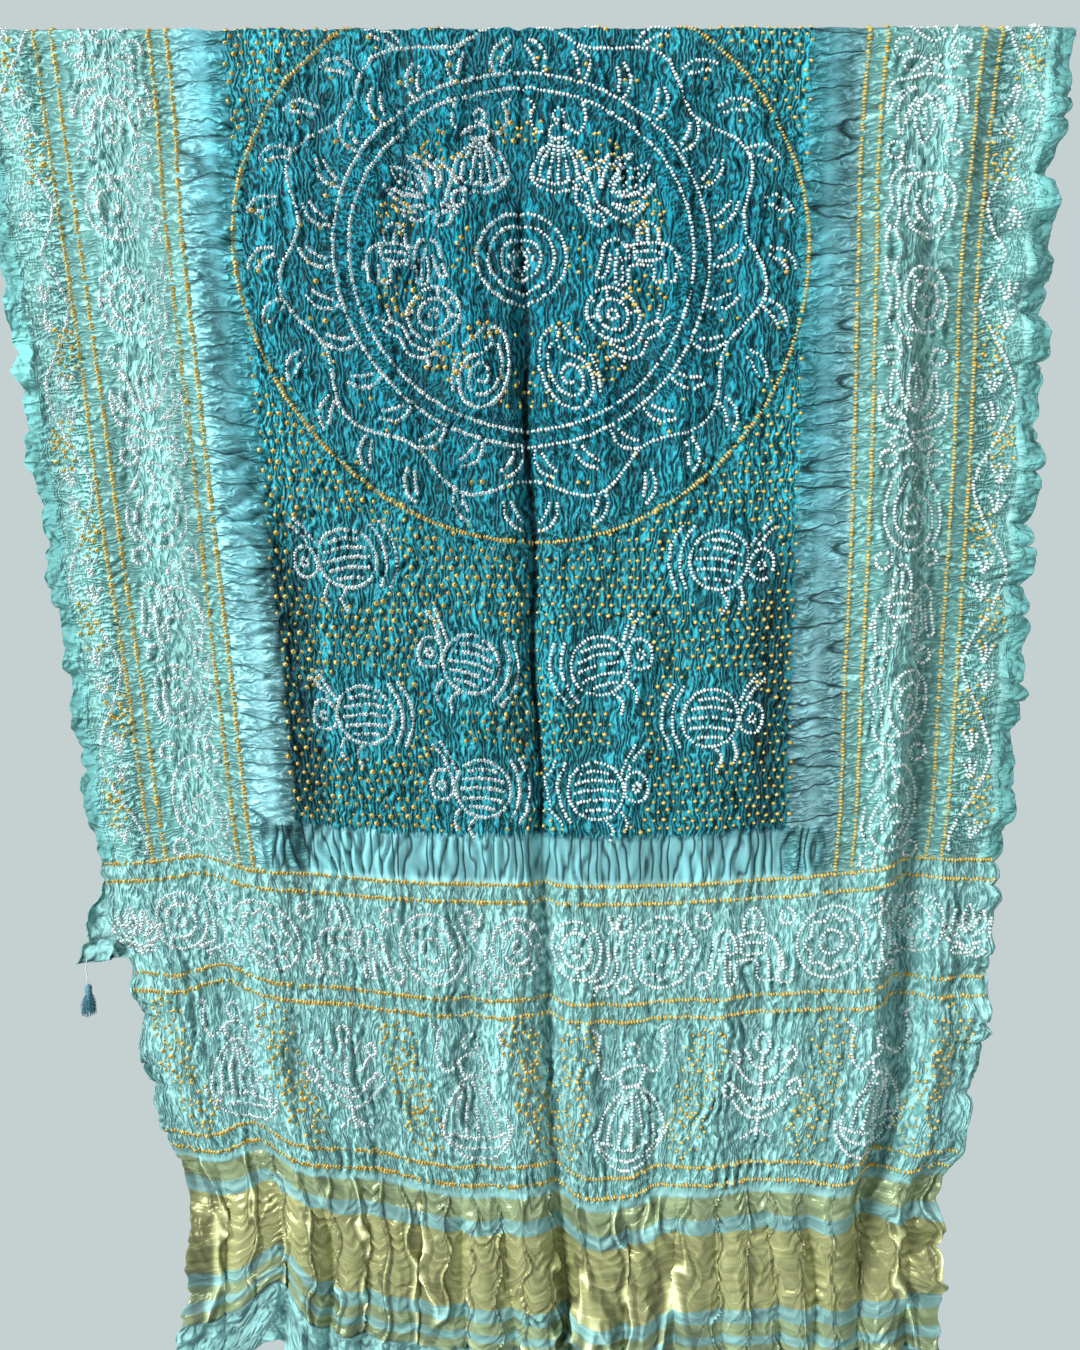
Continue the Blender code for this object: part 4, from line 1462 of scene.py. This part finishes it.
def tube_faces(rings, sides):
    """Faces of a closed tube in triangles, wall and both ends."""
    step = np.arange(sides)
    after = (step + 1) % sides
    low = np.arange(rings - 1)[:, None] * sides
    wall = np.stack((low + step, low + after, low + sides + after), -1)
    other = np.stack((low + step, low + sides + after, low + sides + step), -1)
    fan = np.stack((np.zeros(sides - 2, int), step[2:], step[1:-1]), -1)
    far = fan[:, ::-1] + (rings - 1) * sides
    return np.concatenate((wall.reshape(-1, 3), other.reshape(-1, 3), fan, far))


def joined(tubes):
    """Points and faces of several tubes as one mesh's arrays."""
    points = []
    faces = []
    count = 0
    for rings in tubes:
        points.append(rings.reshape(-1, 3))
        faces.append(tube_faces(*rings.shape[:2]) + count)
        count += len(points[-1])
    return np.concatenate(points), np.concatenate(faces)


# The tassel's thread: points on its line, how far it hangs aside, turns and radius of its two plies
THREAD_POINTS = 60
THREAD_SLACK = ((0.0011, 1.0), (0.0006, 2.3))
PLY_TURNS = 8
PLY_REACH = 0.00030
PLY_RADIUS = 0.00038


def build_thread(finish):
    """Two plies turned round each other down the slack line of the thread."""
    low, high = (np.array(corner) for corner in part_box("tassel_thread"))
    middle = (low + high) / 2
    down = np.linspace(0, 1, THREAD_POINTS)
    slack = sum(reach * np.sin(waves * math.pi * down) for reach, waves in THREAD_SLACK)
    level = high[2] + 0.001 - (high[2] - low[2] + 0.003) * down
    line = np.stack((middle[0] - slack, np.full(THREAD_POINTS, middle[1]), level), -1)
    plies = []
    for phase in (0, math.pi):
        turn = down * 2 * math.pi * PLY_TURNS + phase
        around = np.stack((np.cos(turn), np.sin(turn), np.zeros(THREAD_POINTS)), -1) * PLY_REACH
        plies.append(tube(line + around, PLY_RADIUS, 6))
    points, faces = joined(plies)
    mesh = mesh_from("tassel_thread_plies", points, faces, 3)
    mesh.shade_smooth()
    return add_piece("tassel_thread_plies", mesh, finish, "tassel_thread")


# The tassel: radius of its head at shares of its height from the top, then the windings of its neck and the
# strands of its skirt, also placed by such shares
TASSEL_PROFILE = np.array((
    (0.0003, 0.0), (0.0016, 0.02), (0.0028, 0.06), (0.0034, 0.12),
    (0.0033, 0.18), (0.0027, 0.24), (0.0030, 0.28), (0.0026, 0.31),
))
WINDINGS = 7
WINDING_START = 0.235
WINDING_STEP = 0.011
NECK_RADIUS = 0.0031
STRANDS = 190
SKIRT_START = 0.29
SKIRT_LENGTH = 0.70
SKIRT_RADIUS = 0.0066
CORE_RADIUS = 0.0024
HAIRS = 60


def build_tassel(finish):
    """Tied head of wound thread over a skirt of fine strands that spread and fall unevenly."""
    low, high = (np.array(corner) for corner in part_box("tassel"))
    middle = (low + high) / 2
    tall = high[2] - low[2]
    dice = np.random.default_rng(23)

    def place(aside, back, level):
        """Points round the tassel's own upright line."""
        return np.stack(np.broadcast_arrays(middle[0] + aside, middle[1] + back, level), -1)

    down = np.linspace(0, TASSEL_PROFILE[-1, 1], 24)
    radius = np.interp(down, TASSEL_PROFILE[:, 1], TASSEL_PROFILE[:, 0])
    tubes = [tube(place(0, 0, high[2] - tall * down), radius, 20)]
    for wind in range(WINDINGS):
        turn = np.linspace(0, 2 * math.pi, 26)
        level = high[2] - tall * (WINDING_START + WINDING_STEP * wind) - 0.0003 * turn / (2 * math.pi)
        tubes.append(tube(place(NECK_RADIUS * np.cos(turn), NECK_RADIUS * np.sin(turn), level), 0.00032, 5))
    for strand in range(STRANDS):
        angle = dice.uniform(0, 2 * math.pi)
        start = CORE_RADIUS * math.sqrt(dice.uniform())
        spread = (0.0012 + 0.0052 * dice.uniform() ** 0.8) * (0.5 + start / CORE_RADIUS)
        fall = np.linspace(0, 1, 9)
        length = tall * SKIRT_LENGTH * dice.uniform(0.78, 1.0)
        sway = dice.normal(0, 0.0005, 2)
        outward = np.minimum(start + spread * fall ** 0.75, SKIRT_RADIUS)
        line = place(outward * math.cos(angle) + sway[0] * np.sin(3 * fall),
                     outward * math.sin(angle) + sway[1] * np.sin(3 * fall),
                     high[2] - tall * SKIRT_START - length * fall)
        tubes.append(tube(line, 0.00024 * (1 - 0.35 * fall), 3))
    for hair in range(HAIRS):
        angle = dice.uniform(0, 2 * math.pi)
        lift = dice.uniform(0.2, 1.2)
        fall = np.linspace(0, 1, 5)
        reach = 0.0026 + 0.0016 * dice.uniform() * fall
        level = high[2] - tall * (0.03 + 0.16 * dice.uniform()) + 0.0009 * lift * (fall - fall ** 2)
        tubes.append(tube(place(reach * math.cos(angle), reach * math.sin(angle), level), 0.00016, 3))
    points, faces = joined(tubes)
    mesh = mesh_from("tassel_strands", points, faces, 3)
    mesh.shade_smooth()
    return add_piece("tassel_strands", mesh, finish, "tassel")


def thread_finish(name, light, dark, rough):
    """Spun thread: its colour varies from ply to ply and along the strand."""
    make = Maker(name)
    place = make.node("ShaderNodeTexCoord").outputs["Object"]
    fleck = make.number("ShaderNodeTexNoise", None, {"Vector": place, "Scale": 900.0, "Detail": 2.0})
    broad = make.number("ShaderNodeTexNoise", None, {"Vector": place, "Scale": 160.0, "Detail": 1.0})
    share = make.step(fleck * 0.5 + broad * 0.5, 0.26, 0.74)
    return make.finish({
        "Base Color": make.blend(share, dark, light),
        "Roughness": rough,
        "Specular IOR Level": 0.3,
        "Normal": make.bump(fleck * 0.0001),
    })


# The pale floor: radius, place of its middle along Y, level, and corners of its rim
FLOOR_RADIUS = 2.6
FLOOR_Y = -1.75
FLOOR_LEVEL = -1.86
FLOOR_CORNERS = 96


def build_stage():
    """Pale floor well below the cloth, which hangs: a plain disc, kept out of the camera's own view."""
    turn = np.linspace(0, 2 * math.pi, FLOOR_CORNERS, endpoint=False)
    rim_x = FLOOR_RADIUS * np.cos(turn)
    rim_y = FLOOR_RADIUS * np.sin(turn) + FLOOR_Y
    rim = np.stack((rim_x, rim_y, np.full(FLOOR_CORNERS, FLOOR_LEVEL)), -1)
    mesh = mesh_from("floor", rim, np.arange(FLOOR_CORNERS)[None], FLOOR_CORNERS)
    make = Maker("pale_floor")
    place = make.node("ShaderNodeTexCoord").outputs["Object"]
    cloud = make.number("ShaderNodeTexNoise", None, {"Vector": place, "Scale": 2.0, "Detail": 2.0})
    mesh.materials.append(make.finish({
        "Base Color": make.blend(cloud, paint(204, 210, 209), paint(214, 218, 217)),
        "Roughness": 0.7,
    }))
    floor = bpy.data.objects.new("floor", mesh)
    bpy.context.scene.collection.objects.link(floor)


def add_light(name, place, aim, size, power, colour):
    """Soft square light at a place, turned to face its aim."""
    lamp = bpy.data.lights.new(name, "AREA")
    lamp.size = size
    lamp.energy = power
    lamp.color = colour
    holder = bpy.data.objects.new(name, lamp)
    holder.location = place
    toward = np.array(aim) - np.array(place)
    flat = math.hypot(toward[0], toward[1])
    holder.rotation_euler = (math.atan2(flat, -toward[2]), 0, math.atan2(-toward[0], toward[1]))
    bpy.context.scene.collection.objects.link(holder)


# Lights: name, place, side, power and colour
LIGHTS = (
    ("window", (-2.25, -2.00, 0.85), 1.1, 160.0, (0.98, 0.99, 1.0)),
    ("fill", (1.9, -1.6, -0.2), 1.6, 12.0, (1.0, 0.98, 0.95)),
    ("rear", (-0.9, 2.4, 0.4), 1.6, 60.0, (1.0, 1.0, 1.0)),
)
LIGHT_AIM = (0.0, 0.0, -0.6)
# Share of its seen brightness with which the pale surround lights the cloth
SURROUND = 0.36

# Camera: focal length and sensor in millimetres, place, and its tilt and roll in degrees
LENS = 32.0
SENSOR = 36.0
CAMERA_PLACE = (0.018, -1.111, -0.4768)
CAMERA_TILT = 85.0
CAMERA_ROLL = 0.15


def build_lights():
    """Window light from the upper left, weak fills from the right and from behind, and a pale surround."""
    for name, place, size, power, colour in LIGHTS:
        add_light(name, place, LIGHT_AIM, size, power, colour)
    world = bpy.data.worlds.new("surround")
    bpy.context.scene.world = world
    world.use_nodes = True
    tree = world.node_tree
    background = tree.nodes["Background"]
    background.inputs["Color"].default_value = paint(197, 208, 209)
    seen = tree.nodes.new("ShaderNodeLightPath").outputs["Is Camera Ray"]
    strength = tree.nodes.new("ShaderNodeMapRange")
    strength.inputs["To Min"].default_value = SURROUND
    tree.links.new(seen, strength.inputs["Value"])
    tree.links.new(strength.outputs[0], background.inputs["Strength"])


def build_camera():
    """Camera over a metre before the cloth, near the middle of its front fall, tilted down a little."""
    lens = bpy.data.cameras.new("camera")
    lens.lens = LENS
    lens.sensor_width = SENSOR
    lens.sensor_fit = "AUTO"
    lens.clip_start = 0.02
    lens.clip_end = 30.0
    camera = bpy.data.objects.new("camera", lens)
    camera.location = CAMERA_PLACE
    camera.rotation_euler = (math.radians(CAMERA_TILT), math.radians(CAMERA_ROLL), 0.0)
    bpy.context.scene.collection.objects.link(camera)
    bpy.context.scene.camera = camera


def main():
    """Dress the frame: cloth, dots, thread and tassel, then the stage, the lights and the camera."""
    dots = tied_dots()
    sheet = Sheet(dots)
    panels = build_cloth(sheet, silk_finish())
    finishes = {
        "white": dot_finish("white_ties", paint(252, 254, 252), paint(226, 240, 238), paint(40, 98, 108)),
        "yellow": dot_finish("yellow_ties", paint(240, 212, 128), paint(214, 176, 82), paint(96, 80, 26)),
    }
    made = build_dots(sheet, dots, finishes)
    build_thread(thread_finish("white_thread", paint(240, 240, 232), paint(196, 198, 192), 0.7))
    build_tassel(thread_finish("teal_strands", paint(108, 160, 176), paint(62, 122, 140), 0.6))
    build_stage()
    build_lights()
    build_camera()
    bpy.context.scene.view_settings.view_transform = "Standard"


main()
